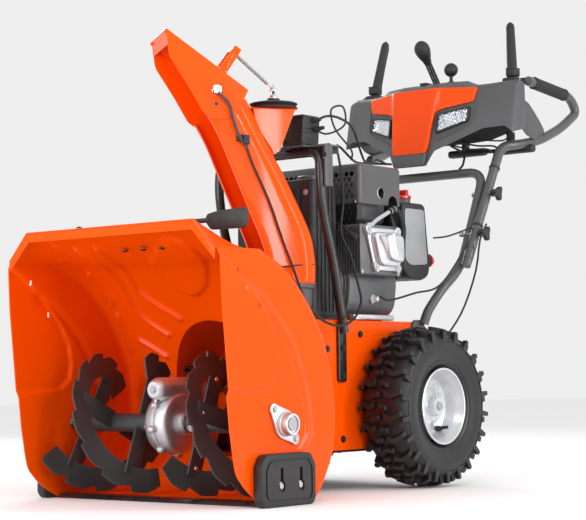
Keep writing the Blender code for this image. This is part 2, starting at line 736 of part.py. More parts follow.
def chute_rows():
    """Channel section at each station, from one front edge round the back to the other."""
    bend = 0.050
    rows = []
    for (back, low), (front, high) in CHUTE_SECTIONS:
        start = Vector((back, low))
        along = (Vector((front, high)) - start)
        depth = along.length
        along.normalize()
        corner = []
        for i in range(4):
            t = math.radians(30 * i)
            corner.append((bend - bend * math.sin(t), -CHUTE_HALF + bend - bend * math.cos(t)))
        line = [(depth, -CHUTE_HALF)] + corner
        line += [(d, -w) for d, w in reversed(line)]
        row = []
        for deep, wide in line:
            spot = start + along * deep
            row.append(chute_point(spot[0], wide, spot[1]))
        rows.append(row)
    return rows


def chute():
    body = thicken(place("chute", strip(chute_rows()), ORANGE, CHUTE_AXIS + Vector((0, 0, 0.476))), 0.0025)
    ring = [(0.066, 0.4724), (0.0905, 0.4724), (0.0905, 0.4765), (0.0760, 0.4765), (0.0760, 0.512),
            (0.0735, 0.512), (0.0735, 0.4765), (0.066, 0.4765)]
    base = place("chute_base", turned(ring, "z", CHUTE_AXIS, 22), ORANGE)
    gusset = prism([(-0.046, PULLEY_Z - GAP), (0.058, PULLEY_Z - GAP), (0.052, 0.835), (0.010, 0.765),
                    (-0.006, 0.772)], "y", -0.0015, 0.0015)
    shelf = block((-0.044, -0.030, PULLEY_Z - 0.0035), (0.060, 0.030, PULLEY_Z - 0.0007))
    clamp = block((0.080, -CHUTE_HALF - 0.010, 0.782), (0.096, -CHUTE_HALF + 0.0015, 0.802))
    return unite(body, base, on_chute("chute_gusset", gusset), on_chute("chute_shelf", shelf),
                 on_chute("cable_clamp", clamp))


def rotation_pulley():
    """Cable drum on the chute's axis, with its bolt."""
    profile = [
        (0, PULLEY_Z), (0.055, PULLEY_Z), (0.055, PULLEY_Z + 0.003), (0.050, PULLEY_Z + 0.007),
        (0.055, PULLEY_Z + 0.011), (0.055, PULLEY_Z + 0.014), (0.018, PULLEY_Z + 0.014),
        (0.014, PULLEY_Z + 0.026), (0.006, PULLEY_Z + 0.027), (0.006, PULLEY_Z + 0.058),
        (0, PULLEY_Z + 0.058),
    ]
    return place("rotation_pulley", turned(profile, "z", CHUTE_AXIS, 22), BLACK_PLASTIC,
                 CHUTE_AXIS + Vector((0, 0, PULLEY_Z)))


DEFLECTOR_PIVOT = (0.152, 0.900)
DEFLECTOR_SIDE = [
    (0.266, 1.034), (0.079, 0.902), (0.094, 0.872), (0.112, 0.848), (0.133, 0.836),
    (0.152, 0.833), (0.176, 0.845), (0.215, 0.905), (0.259, 0.974), (0.262, 0.998),
]


def on_chute(name, mesh, look=ORANGE, origin=(0, 0, 0)):
    """Turns a piece drawn ahead of the axis (X), away from the near side (Y) into its place."""
    turn = Matrix((FORWARD, -ACROSS, Vector((0, 0, 1)))).transposed()
    bmesh.ops.rotate(mesh, verts=mesh.verts, cent=(0, 0, 0), matrix=turn)
    bmesh.ops.translate(mesh, verts=mesh.verts, vec=CHUTE_AXIS)
    return place(name, mesh, look, origin)


def deflector():
    """Hood that tips on two bolts at the top of the chute."""
    wide = CHUTE_HALF + 0.0035
    rear, tip = DEFLECTOR_SIDE[1], DEFLECTOR_SIDE[0]
    top = [(rear[0] + 0.002, rear[1] - 0.0005), (tip[0] - 0.001, tip[1] - 0.002),
           (tip[0] - 0.001, tip[1] - 0.0055), (rear[0] + 0.002, rear[1] - 0.004)]
    origin = chute_point(DEFLECTOR_PIVOT[0], 0, DEFLECTOR_PIVOT[1])
    hood = on_chute("deflector", prism(top, "y", -wide + 0.001, wide - 0.001), ORANGE, origin)
    near = on_chute("deflector_cheek", prism(DEFLECTOR_SIDE, "y", -wide, -wide + 0.0025))
    far = on_chute("deflector_cheek_far", prism(DEFLECTOR_SIDE, "y", wide - 0.0025, wide))
    loop = [(0.150, 0.943), (0.108, 1.002), (0.094, 0.992), (0.134, 0.930)]
    handle = on_chute("deflector_handle", prism(loop, "y", -wide + 0.0005, -wide + 0.060))
    room = [(0.160, 0.964), (0.129, 1.005), (0.081, 0.971), (0.111, 0.929)]
    hollow = on_chute("handle_space", prism(room, "y", -wide + 0.004, -wide + 0.056))
    unite(hood, near, far, handle)
    return cut(hood, hollow)


# ---- hoop, cable head ----

HOOP_LEG = [(-0.230, 0.365), (-0.249, 0.440), (-0.269, 0.530), (-0.304, 0.630), (-0.317, 0.715)]


def chute_hoop():
    """Bent tube over the belt cover with flattened feet bolted to the frame."""
    right = [(0.1530, y, z) for y, z in HOOP_LEG]
    left = [(-0.1530, y, z) for y, z in HOOP_LEG]
    path = rounded_path(right + [(0.150, -0.312, 0.779), (-0.150, -0.312, 0.779)] + left[::-1], 0.045)
    hoop = place("chute_hoop", tube(path, 0.011), BLACK_PAINT)
    for side in (-1, 1):
        low, high = sorted((side * 0.1420, side * 0.1490))
        foot = place(f"hoop_foot_{side}", block((low, -0.247, 0.250), (high, -0.217, 0.385)), BLACK_PAINT)
        unite(hoop, foot)
    return hoop


def cable_bracket():
    """Plate and post that carry the cable head on the hoop."""
    outline = [(0.052, -0.338), (0.124, -0.338), (0.124, -0.318), (0.172, -0.318), (0.172, -0.268),
               (0.030, -0.268), (0.030, -0.318), (0.052, -0.318)]
    plate = place("cable_bracket", prism(outline, "z", 0.7905, 0.7950), GREY_PAINT)
    post = place("bracket_post", block((0.1645, -0.316, 0.700), (0.1715, -0.294, 0.793)), GREY_PAINT)
    return unite(plate, post)


def cable_head():
    outline = [(0.058, 0.7955), (0.116, 0.7955), (0.122, 0.866), (0.058, 0.866)]
    return place("cable_head", prism(outline, "y", -0.335, -0.272), BLACK_PLASTIC)


# ---- handles and console ----


def lower_handle():
    """Bent tube bolted to the frame's sides."""
    leg = [(0.1540, 0.092, 0.390), (0.1600, 0.100, 0.420), (0.1760, 0.135, 0.472), (0.185, 0.215, 0.532),
           (0.185, 0.330, 0.783)]
    path = rounded_path(leg + [(-x, y, z) for x, y, z in reversed(leg)], 0.045)
    handle = place("lower_handle", tube(path, 0.0120), GREY_PAINT)
    for side in (-1, 1):
        low, high = sorted((side * (FRAME_HALF + GAP), side * 0.1490))
        lug = place(f"handle_lug_{side}", block((low, 0.035, 0.300), (high, 0.103, 0.400)), GREY_PAINT)
        unite(handle, lug)
    return handle


def upper_handle(name, side):
    """Tube from the clamp knobs up to the console and round into the hand loop."""
    line = [
        (0.2105, 0.198, 0.534), (0.2105, 0.372, 0.850), (0.235, 0.425, 0.858), (0.255, 0.490, 0.872),
        (GRIP_X, 0.590, 0.914), (GRIP_X, 0.676, 0.965), (GRIP_X, 0.640, 1.003), (GRIP_X, 0.428, 1.021),
    ]
    path = rounded_path([(side * x, y, z) for x, y, z in line], 0.036)
    return place(name, tube(path, TUBE_R), GREY_PAINT)


def knob(name, side):
    """Clamp knob on the upper handle."""
    profile = [(0, 0.2235), (0.006, 0.2235), (0.006, 0.232), (0.018, 0.234), (0.018, 0.244),
               (0.012, 0.248), (0, 0.248)]
    profile = [(r, side * t) for r, t in profile]
    return place(name, turned(profile, "x", (0, 0.305, 0.722), 12), BLACK_PLASTIC,
                 (side * 0.236, 0.305, 0.722))


def front_line(x, z):
    """Distance back of the console's front at a width and a height."""
    return 0.256 + 0.20 * (z - DASH_LOW_Z) + 0.30 * max(0.0, abs(x) - 0.06)


def dash_shell():
    """Console cover, open underneath."""
    # width, front bottom z, front top z, rear y, rear top z, rear bottom z
    stations = [
        (0.2660, 0.880, 1.012, 0.405, 1.014, 0.895), (0.2450, 0.898, 1.017, 0.418, 1.020, 0.898),
        (0.1900, 0.895, 1.012, 0.430, 1.016, 0.890), (0.1280, 0.868, 1.010, 0.450, 1.020, 0.880),
        (0.0700, 0.842, 1.010, 0.460, 1.022, 0.880), (0.0500, 0.804, 1.010, 0.462, 1.022, 0.880),
    ]
    stations += [(-x, *rest) for x, *rest in reversed(stations)]
    rows = []
    for x, low, high, rear, rear_high, rear_low in stations:
        front_low = front_line(x, low) + 0.013
        front_high = front_line(x, high) + 0.013
        hump = high + (0.020 if abs(x) < 0.15 else 0.004)
        rows.append([
            Vector((x, front_low, low)), Vector((x, (front_low + front_high) / 2, (low + high) / 2)),
            Vector((x, front_high, high)), Vector((x, front_high + 0.030, hump)),
            Vector((x, rear, rear_high)), Vector((x, rear + 0.004, rear_low)),
        ])
    return thicken(place("dash_shell", strip(rows, closed_ends=True), GREY_PLASTIC), SHEET, -1.0)


def face_piece(name, outline, front, back, look):
    """A flat outline in (x, z) laid on the console's front."""
    bm = prism(outline, "y", front, back)
    for x in (-0.06, 0.06):
        bmesh.ops.bisect_plane(bm, geom=bm.verts[:] + bm.edges[:] + bm.faces[:],
                               plane_co=(x, 0, 0), plane_no=(1, 0, 0))
    for v in bm.verts:
        v.co.y += front_line(v.co.x, v.co.z)
    return place(name, bm, look)


def dash_front():
    half = [(0.048, 0.836), (0.054, 0.850), (0.066, 0.945), (0.085, 0.952), (0.160, 0.966),
            (0.170, 1.004), (0.073, 1.009)]
    return face_piece("dash_front", half + mirrored(half), 0.0, 0.0125, ORANGE_PLASTIC)


def headlamp(name, side):
    outline = [(side * x, z) for x, z in
               ((0.076, 0.892), (0.150, 0.917), (0.151, 0.950), (0.077, 0.936))]
    return face_piece(name, outline, 0.0045, 0.0125, LENS)


def lever(name, side):
    """Clutch lever paddle, hinged on the console above the grip."""
    base = Vector((side * 0.220, 0.420, 1.040))
    tip = Vector((side * 0.200, 0.446, 1.186))
    path = [base, base + (tip - base) * 0.3, base + (tip - base) * 0.93, tip]
    paddle = place(name, tube(path, 0.0115, 8), BLACK_PLASTIC, (side * 0.220, 0.420, 1.045))
    low, high = sorted((side * 0.206, side * 0.236))
    foot = place(name + "_foot", block((low, 0.405, 1.034), (high, 0.437, 1.058), 0.003), BLACK_PLASTIC)
    return unite(paddle, foot)


def speed_lever():
    """Gear lever: a flat bar that ends in a pear-shaped knob."""
    bar = place("speed_lever", tube([Vector((0, 0.400, 1.034)), Vector((0, 0.350, 1.096))], 0.0055, 8),
                BLACK_PAINT, (0, 0.400, 1.036))
    profile = [(0, -0.004), (0.010, -0.004), (0.012, 0.004), (0.018, 0.030), (0.018, 0.040),
               (0.013, 0.052), (0, 0.056)]
    knob_mesh = turned(profile, "z", (0, 0, 0), 14)
    lean = Vector((0, -0.050, 0.062)).normalized()
    bmesh.ops.rotate(knob_mesh, verts=knob_mesh.verts, cent=(0, 0, 0),
                     matrix=Vector((0, 0, 1)).rotation_difference(lean).to_matrix())
    bmesh.ops.translate(knob_mesh, verts=knob_mesh.verts, vec=(0, 0.352, 1.094))
    return unite(bar, place("speed_knob", knob_mesh, BLACK_PLASTIC))


def joystick():
    """Chute control stick with a ball top."""
    stick = place("joystick", rod(0.005, "z", 1.036, 1.056, (0.055, 0.382, 0), steps=8), BLACK_PAINT,
                  (0.055, 0.382, 1.036))
    ball_mesh = bmesh.new()
    bmesh.ops.create_uvsphere(ball_mesh, u_segments=14, v_segments=9, radius=0.0185)
    bmesh.ops.translate(ball_mesh, verts=ball_mesh.verts, vec=(0.055, 0.382, 1.068))
    return unite(stick, place("joystick_ball", ball_mesh, BLACK_PLASTIC))


def cleanout_tool():
    """Clearing stick that stands on two feet along the housing's roof."""
    y, z = -0.745, 0.602
    shaft = place("cleanout_tool", rod(0.009, "x", -0.200, 0.200, (0, y, z), steps=12), BLACK_PLASTIC,
                  (0, y, z))
    blade = place("tool_blade", block((0.188, y - 0.004, 0.569), (0.298, y + 0.004, 0.613), 0.002),
                  BLACK_PLASTIC)
    unite(shaft, blade)
    for n, x in enumerate((-0.150, 0.100)):
        foot = place(f"tool_foot_{n}", block((x, y - 0.007, 0.5465), (x + 0.016, y + 0.007, z)),
                     BLACK_PLASTIC)
        unite(shaft, foot)
    return shaft


# ---- cables ----

# Each route runs from the console to the working end.
DEFLECTOR_CABLE = [
    (-0.085, 0.300, 0.822), (-0.080, 0.200, 0.815), (-0.030, 0.080, 0.802), (0.010, 0.000, 0.800),
    (0.055, -0.120, 0.820), (0.115, -0.188, 0.760), (0.136, -0.205, 0.680), (0.136, -0.216, 0.600),
    (0.160, -0.212, 0.545), (0.175, -0.206, 0.480), (0.180, -0.200, 0.435), (0.188, -0.240, 0.395),
    (0.191, -0.300, 0.378), (0.192, -0.369, 0.392), (0.187, -0.412, 0.425),
    chute_point(-0.027, 0.093, 0.472), chute_point(-0.016, 0.085, 0.510),
    chute_point(0.004, 0.082, 0.565), chute_point(0.037, 0.082, 0.658),
    chute_point(0.070, 0.082, 0.730), chute_point(0.086, 0.082, 0.774),
]
ROTATION_CABLE = [
    (-0.105, 0.300, 0.826), (-0.060, 0.200, 0.823), (0.000, 0.100, 0.802), (0.050, 0.000, 0.790),
    (0.120, -0.120, 0.812), (0.157, -0.200, 0.850), (0.150, -0.268, 0.866), (0.1245, -0.300, 0.852),
]
DRIVE_CABLE = [
    (0.240, 0.250, 0.640), (0.240, 0.219, 0.598), (0.222, 0.226, 0.524), (0.190, 0.222, 0.438),
    (0.165, 0.200, 0.380), (0.145, 0.145, 0.325), (0.120, 0.079, 0.300),
]


def build():
    housing_wrap()
    side_panel("side_panel_left", 1)
    side_panel("side_panel_right", -1)
    scraper_bar()
    impeller_housing()
    chute_collar()
    bearing("bearing_left", 1)
    bearing("bearing_right", -1)
    skid("skid_left", 1)
    skid("skid_right", -1)
    gearbox()
    auger_shaft()
    auger("auger_left", 1, 40)
    auger("auger_right", -1, 100)
    impeller_shaft()
    impeller()
    auger_pulley()
    engine_pulley()
    auger_belt()
    frame_shell()
    frame_cover()
    axle()
    lay_shaft()
    drive_disc()
    for side, word in ((1, "left"), (-1, "right")):
        rim(f"rim_{word}", side)
        tyre(f"tyre_{word}", side)
        upper_handle(f"upper_handle_{word}", side)
        knob(f"handle_knob_{word}", side)
        headlamp(f"headlamp_{word}", side)
        lever(f"clutch_lever_{word}", side)
    engine_block()
    valve_cover()
    muffler()
    muffler_guard()
    engine_shroud()
    fuel_tank()
    fuel_cap()
    primer_button()
    belt_cover()
    chute()
    rotation_pulley()
    deflector()
    chute_hoop()
    cable_bracket()
    cable_head()
    lower_handle()
    dash_shell()
    dash_front()
    speed_lever()
    joystick()
    cleanout_tool()
    cable("deflector_cable", DEFLECTOR_CABLE, 0.003)
    cable("rotation_cable", ROTATION_CABLE, 0.003)
    cable("drive_cable", DRIVE_CABLE, 0.0025)


build()
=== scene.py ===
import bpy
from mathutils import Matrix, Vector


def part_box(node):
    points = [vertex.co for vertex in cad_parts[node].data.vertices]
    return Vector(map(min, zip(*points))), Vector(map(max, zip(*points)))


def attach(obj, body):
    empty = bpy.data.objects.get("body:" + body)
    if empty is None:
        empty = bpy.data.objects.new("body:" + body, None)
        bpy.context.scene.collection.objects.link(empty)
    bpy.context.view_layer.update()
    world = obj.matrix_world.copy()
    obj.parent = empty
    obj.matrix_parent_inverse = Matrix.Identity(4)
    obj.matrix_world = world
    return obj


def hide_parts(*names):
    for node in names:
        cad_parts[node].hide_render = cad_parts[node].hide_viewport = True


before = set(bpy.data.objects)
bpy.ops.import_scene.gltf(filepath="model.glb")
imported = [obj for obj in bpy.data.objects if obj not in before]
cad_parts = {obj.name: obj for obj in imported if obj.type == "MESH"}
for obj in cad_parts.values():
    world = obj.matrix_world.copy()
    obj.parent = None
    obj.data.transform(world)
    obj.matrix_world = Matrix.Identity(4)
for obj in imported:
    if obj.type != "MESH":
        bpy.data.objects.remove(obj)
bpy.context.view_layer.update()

import math

import bmesh
import bpy
import numpy as np
from mathutils import Matrix, Vector

axleLow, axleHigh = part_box("axle")
axleY = (axleLow[1] + axleHigh[1]) / 2  # every shape below is drawn from the wheel axle


# looks: one finish per material, read on Object coordinates
finishes = {
    # colour, darker colour, metal, roughness low/high, grain scale, grain bump, coat
    "orangePaint": ((0.90, 0.083, 0.0004), (0.86, 0.076, 0.0004), 0.0, (0.22, 0.27), 900, 0.03, 0.20),
    "orangePlastic": ((0.84, 0.070, 0.0010), (0.80, 0.062, 0.001), 0.0, (0.18, 0.26), 1200, 0.05, 0.35),
    "augerPaint": ((0.046, 0.047, 0.049), (0.034, 0.035, 0.036), 0.0, (0.34, 0.50), 500, 0.20, 0.0),
    "blackPaint": ((0.016, 0.016, 0.017), (0.010, 0.010, 0.010), 0.0, (0.22, 0.38), 700, 0.08, 0.3),
    "greyPaint": ((0.085, 0.085, 0.088), (0.065, 0.065, 0.068), 0.0, (0.28, 0.42), 800, 0.10, 0.2),
    "blackPlastic": ((0.022, 0.022, 0.023), (0.014, 0.014, 0.015), 0.0, (0.38, 0.58), 1500, 0.28, 0.0),
    "greyPlastic": ((0.088, 0.088, 0.092), (0.070, 0.070, 0.073), 0.0, (0.34, 0.50), 1500, 0.25, 0.0),
    "lightPlastic": ((0.36, 0.365, 0.375), (0.27, 0.275, 0.285), 0.3, (0.28, 0.42), 1100, 0.12, 0.1),
    "steel": ((0.56, 0.56, 0.57), (0.40, 0.40, 0.41), 1.0, (0.24, 0.42), 1200, 0.08, 0.0),
    "castAluminium": ((0.74, 0.75, 0.77), (0.55, 0.56, 0.58), 1.0, (0.34, 0.56), 650, 0.45, 0.0),
    "castDark": ((0.16, 0.16, 0.165), (0.10, 0.10, 0.105), 0.6, (0.38, 0.60), 550, 0.45, 0.0),
    "silverPaint": ((0.66, 0.67, 0.69), (0.56, 0.57, 0.59), 0.55, (0.26, 0.40), 1400, 0.10, 0.2),
    "rubber": ((0.020, 0.020, 0.021), (0.012, 0.012, 0.012), 0.0, (0.55, 0.75), 900, 0.25, 0.0),
    "tyreRubber": ((0.017, 0.017, 0.018), (0.008, 0.008, 0.009), 0.0, (0.30, 0.50), 420, 0.35, 0.0),
    "redPlastic": ((0.62, 0.012, 0.015), (0.48, 0.008, 0.010), 0.0, (0.18, 0.30), 1200, 0.08, 0.3),
    "chrome": ((0.80, 0.80, 0.81), (0.66, 0.66, 0.67), 1.0, (0.10, 0.22), 800, 0.04, 0.0),
    "reflector": ((0.92, 0.93, 0.95), (0.62, 0.63, 0.66), 1.0, (0.06, 0.16), 400, 0.10, 0.0),
}


def makeLook(name):
    colour, darker, metal, rough, grain, bump, coat = finishes[name]
    look = bpy.data.materials.new(name)
    look.use_nodes = True
    tree = look.node_tree
    shader = tree.nodes["Principled BSDF"]
    shader.inputs["Metallic"].default_value = metal
    shader.inputs["Coat Weight"].default_value = coat
    shader.inputs["Specular IOR Level"].default_value = 0.06 if name.startswith("orange") else 0.42
    shader.inputs["Coat Roughness"].default_value = 0.05
    place = tree.nodes.new("ShaderNodeTexCoord")

    def noise(scale, detail, roughness=0.55):
        node = tree.nodes.new("ShaderNodeTexNoise")
        node.inputs["Scale"].default_value = scale
        node.inputs["Detail"].default_value = detail
        node.inputs["Roughness"].default_value = roughness
        tree.links.new(place.outputs["Object"], node.inputs["Vector"])
        return node.outputs["Fac"]

    patch = noise(7.0, 5.0)
    speck = noise(grain, 3.0)
    smear = noise(38.0, 6.0, 0.65)
    # broad and fine patches shift the colour a little
    both = tree.nodes.new("ShaderNodeMath")
    both.operation = "MULTIPLY_ADD"
    both.inputs[1].default_value = 0.35
    tree.links.new(speck, both.inputs[0])
    tree.links.new(patch, both.inputs[2])
    spread = tree.nodes.new("ShaderNodeMapRange")
    spread.inputs["From Min"].default_value = 0.45
    spread.inputs["From Max"].default_value = 0.90
    tree.links.new(both.outputs["Value"], spread.inputs["Value"])
    tint = tree.nodes.new("ShaderNodeMix")
    tint.data_type = "RGBA"
    tint.inputs[6].default_value = (*darker, 1)
    tint.inputs[7].default_value = (*colour, 1)
    tree.links.new(spread.outputs["Result"], tint.inputs[0])
    # rubbed edges: lighter where the surface is sharply raised
    edge = tree.nodes.new("ShaderNodeNewGeometry")
    worn = tree.nodes.new("ShaderNodeMapRange")
    worn.inputs["From Min"].default_value = 0.54
    worn.inputs["From Max"].default_value = 0.66
    worn.inputs["To Max"].default_value = 0.45
    tree.links.new(edge.outputs["Pointiness"], worn.inputs["Value"])
    rub = tree.nodes.new("ShaderNodeMath")
    rub.operation = "MULTIPLY"
    tree.links.new(worn.outputs["Result"], rub.inputs[0])
    tree.links.new(smear, rub.inputs[1])
    bright = tree.nodes.new("ShaderNodeMix")
    bright.data_type = "RGBA"
    bright.inputs[7].default_value = (*[min(1.0, c * 1.5 + 0.03) for c in colour], 1)
    tree.links.new(rub.outputs["Value"], bright.inputs[0])
    tree.links.new(tint.outputs[2], bright.inputs[6])
    tree.links.new(bright.outputs[2], shader.inputs["Base Color"])
    gloss = tree.nodes.new("ShaderNodeMapRange")
    gloss.inputs["From Min"].default_value = 0.3
    gloss.inputs["From Max"].default_value = 0.7
    gloss.inputs["To Min"].default_value = rough[0]
    gloss.inputs["To Max"].default_value = rough[1]
    tree.links.new(smear, gloss.inputs["Value"])
    tree.links.new(gloss.outputs["Result"], shader.inputs["Roughness"])
    relief = tree.nodes.new("ShaderNodeBump")
    relief.inputs["Strength"].default_value = bump
    relief.inputs["Distance"].default_value = 0.0004
    tree.links.new(speck, relief.inputs["Height"])
    tree.links.new(relief.outputs["Normal"], shader.inputs["Normal"])
    return look


looks = {name: makeLook(name) for name in finishes}


def lensLook():
    look = bpy.data.materials.new("clearLens")
    look.use_nodes = True
    tree = look.node_tree
    shader = tree.nodes["Principled BSDF"]
    shader.inputs["Base Color"].default_value = (0.96, 0.98, 1.0, 1)
    shader.inputs["Transmission Weight"].default_value = 1.0
    shader.inputs["IOR"].default_value = 1.25
    place = tree.nodes.new("ShaderNodeTexCoord")
    haze = tree.nodes.new("ShaderNodeTexNoise")
    haze.inputs["Scale"].default_value = 60
    tree.links.new(place.outputs["Object"], haze.inputs["Vector"])
    gloss = tree.nodes.new("ShaderNodeMapRange")
    gloss.inputs["To Min"].default_value = 0.02
    gloss.inputs["To Max"].default_value = 0.09
    tree.links.new(haze.outputs["Fac"], gloss.inputs["Value"])
    tree.links.new(gloss.outputs["Result"], shader.inputs["Roughness"])
    return look


looks["clearLens"] = lensLook()
print("looks ready")


# mesh helpers
def box(low, high, bevel=0.0, segments=3):
    bm = bmesh.new()
    bmesh.ops.create_cube(bm, size=1)
    bmesh.ops.scale(bm, verts=bm.verts, vec=[b - a for a, b in zip(low, high)])
    bmesh.ops.translate(bm, verts=bm.verts, vec=[(a + b) / 2 for a, b in zip(low, high)])
    if bevel:
        bmesh.ops.bevel(bm, geom=bm.edges[:], offset=bevel, segments=segments, affect="EDGES", profile=0.5)
    return bm


def lathe(profile, axis, centre=(0, 0, 0), steps=48, wobble=None):
    # closed outline of (radius, distance) turned round an axis
    bm = bmesh.new()
    rings = []
    for i in range(steps):
        a = 2 * math.pi * i / steps
        ring = []
        for r, t in profile:
            if wobble:
                r += wobble(a, r, t)
            c, s = r * math.cos(a), r * math.sin(a)
            spot = {"x": (t, c, s), "y": (s, t, c), "z": (c, s, t)}[axis]
            ring.append(bm.verts.new(Vector(spot) + Vector(centre)))
        rings.append(ring)
    for i in range(steps):
        near, far = rings[i], rings[(i + 1) % steps]
        for j in range(len(profile)):
            k = (j + 1) % len(profile)
            bm.faces.new((near[j], near[k], far[k], far[j]))
    bmesh.ops.remove_doubles(bm, verts=bm.verts, dist=1e-6)
    bmesh.ops.delete(bm, geom=[e for e in bm.edges if not e.link_faces], context="EDGES")
    return bm


def prism(outline, axis, low, high, bevel=0.0, segments=2):
    def point(a, b, t):
        return {"x": (t, a, b), "y": (a, t, b), "z": (a, b, t)}[axis]

    bm = bmesh.new()
    face = bm.faces.new([bm.verts.new(point(a, b, low)) for a, b in outline])
    made = bmesh.ops.extrude_face_region(bm, geom=[face])
    moved = [v for v in made["geom"] if isinstance(v, bmesh.types.BMVert)]
    bmesh.ops.translate(bm, verts=moved, vec=Vector(point(0, 0, high - low)))
    bmesh.ops.recalc_face_normals(bm, faces=bm.faces)
    if bevel:
        rim = [e for e in bm.edges if any(len(f.verts) > 4 for f in e.link_faces)]
        if len(outline) == 4:
            rim = bm.edges[:]
        bmesh.ops.bevel(bm, geom=rim, offset=bevel, segments=segments, affect="EDGES", profile=0.5)
    return bm


def roundPath(points, radius, steps=8):
    spots = [Vector(p) for p in points]
    path = [spots[0]]
    for before, corner, after in zip(spots, spots[1:], spots[2:]):
        reach = min(radius, (before - corner).length * 0.48, (after - corner).length * 0.48)
        start = corner + (before - corner).normalized() * reach
        end = corner + (after - corner).normalized() * reach
        for i in range(steps + 1):
            t = i / steps
            path.append(start * (1 - t) ** 2 + corner * 2 * t * (1 - t) + end * t ** 2)
    path.append(spots[-1])
    return path


def smoothPath(points, perSpan=8):
    spots = [Vector(p) for p in points]
    ends = [spots[0] * 2 - spots[1]] + spots + [spots[-1] * 2 - spots[-2]]
    path = []
    for a, b, c, d in zip(ends, ends[1:], ends[2:], ends[3:]):
        for i in range(perSpan):
            t = i / perSpan
            path.append((b * 2 + (c - a) * t + (a * 2 - b * 5 + c * 4 - d) * t ** 2
                         + (b * 3 - a - c * 3 + d) * t ** 3) / 2)
    path.append(spots[-1])
    return path


def smoothOutline(points, perSpan=6):
    # closed smooth line through (a, b) points
    n = len(points)
    found = []
    for i in range(n):
        a, b, c, d = (Vector(points[(i + k - 1) % n]) for k in range(4))
        for j in range(perSpan):
            t = j / perSpan
            found.append(tuple((b * 2 + (c - a) * t + (a * 2 - b * 5 + c * 4 - d) * t ** 2
                                + (b * 3 - a - c * 3 + d) * t ** 3) / 2))
    return found


def roundOutline(points, radius, steps=6):
    # closed polygon whose corners become arcs
    n = len(points)
    found = []
    for i in range(n):
        before, corner, after = (Vector(points[(i + k - 1) % n]) for k in range(3))
        size = radius[i] if isinstance(radius, (list, tuple)) else radius
        reach = min(size, (before - corner).length * 0.48, (after - corner).length * 0.48)
        start = corner + (before - corner).normalized() * reach
        end = corner + (after - corner).normalized() * reach
        for k in range(steps + 1):
            t = k / steps
            found.append(tuple(start * (1 - t) ** 2 + corner * 2 * t * (1 - t) + end * t ** 2))
    return found


def sweep(path, radius, sides=18, flat=(1.0, 1.0), side=None, closed=True):
    # round or oval bar along a path; radius is a number or one per point
    bm = bmesh.new()
    rings = []
    side = Vector(side) if side else None
    for i, spot in enumerate(path):
        ahead = (path[min(i + 1, len(path) - 1)] - path[max(i - 1, 0)]).normalized()
        if side is None:
            side = ahead.orthogonal().normalized()
        side = (side - ahead * side.dot(ahead)).normalized()
        up = ahead.cross(side)
        size = radius[i] if isinstance(radius, (list, tuple)) else radius
        ring = []
        for k in range(sides):
            a = 2 * math.pi * k / sides
            ring.append(bm.verts.new(spot + side * math.cos(a) * size * flat[0]
                                     + up * math.sin(a) * size * flat[1]))
        rings.append(ring)
    for near, far in zip(rings, rings[1:]):
        for k in range(sides):
            m = (k + 1) % sides
            bm.faces.new((near[k], near[m], far[m], far[k]))
    bm.faces.new(rings[0])
    bm.faces.new(rings[-1])
    return bm


def shell(outer, inner):
    # closed sheet between two grids of points
    bm = bmesh.new()
    top = [[bm.verts.new(p) for p in row] for row in outer]
    low = [[bm.verts.new(p) for p in row] for row in inner]
    rows, cols = len(top), len(top[0])
    for i in range(rows - 1):
        for j in range(cols - 1):
            bm.faces.new((top[i][j], top[i][j + 1], top[i + 1][j + 1], top[i + 1][j]))
            bm.faces.new((low[i][j], low[i + 1][j], low[i + 1][j + 1], low[i][j + 1]))
    for i in range(rows - 1):
        bm.faces.new((top[i][0], top[i + 1][0], low[i + 1][0], low[i][0]))
        bm.faces.new((top[i + 1][-1], top[i][-1], low[i][-1], low[i + 1][-1]))
    for j in range(cols - 1):
        bm.faces.new((top[0][j + 1], top[0][j], low[0][j], low[0][j + 1]))
        bm.faces.new((top[-1][j], top[-1][j + 1], low[-1][j + 1], low[-1][j]))
    return bm


def gridNormals(grid):
    # unit normals of a grid of points, as rows of vectors
    points = np.array([[tuple(p) for p in row] for row in grid])
    down = np.gradient(points, axis=0)
    along = np.gradient(points, axis=1)
    normal = np.cross(along, down)
    normal /= np.linalg.norm(normal, axis=2, keepdims=True) + 1e-12
    return [[Vector(n) for n in row] for row in normal]


def turn(bm, angle, axis, centre=(0, 0, 0)):
    bmesh.ops.rotate(bm, verts=bm.verts, cent=centre, matrix=Matrix.Rotation(math.radians(angle), 3, axis))
    return bm


def shift(bm, vec):
    bmesh.ops.translate(bm, verts=bm.verts, vec=vec)
    return bm


def toMesh(bm, name="shape", fix=True):
    if fix:
        bmesh.ops.recalc_face_normals(bm, faces=bm.faces)
    mesh = bpy.data.meshes.new(name)
    bm.to_mesh(mesh)
    bm.free()
    return mesh


def join(*shapes):
    # several closed shapes in one mesh
    whole = bmesh.new()
    for shape in shapes:
        mesh = shape if isinstance(shape, bpy.types.Mesh) else toMesh(shape)
        whole.from_mesh(mesh)
    mesh = bpy.data.meshes.new("joined")
    whole.to_mesh(mesh)
    whole.free()
    return mesh


def tempObject(shape):
    mesh = shape if isinstance(shape, bpy.types.Mesh) else toMesh(shape)
    thing = bpy.data.objects.new("temp", mesh)
    bpy.context.collection.objects.link(thing)
    return thing


def settle(thing):
    # the evaluated mesh of a working object, which is then removed
    bpy.context.view_layer.update()
    graph = bpy.context.evaluated_depsgraph_get()
    mesh = bpy.data.meshes.new_from_object(thing.evaluated_get(graph))
    bpy.data.objects.remove(thing)
    return mesh


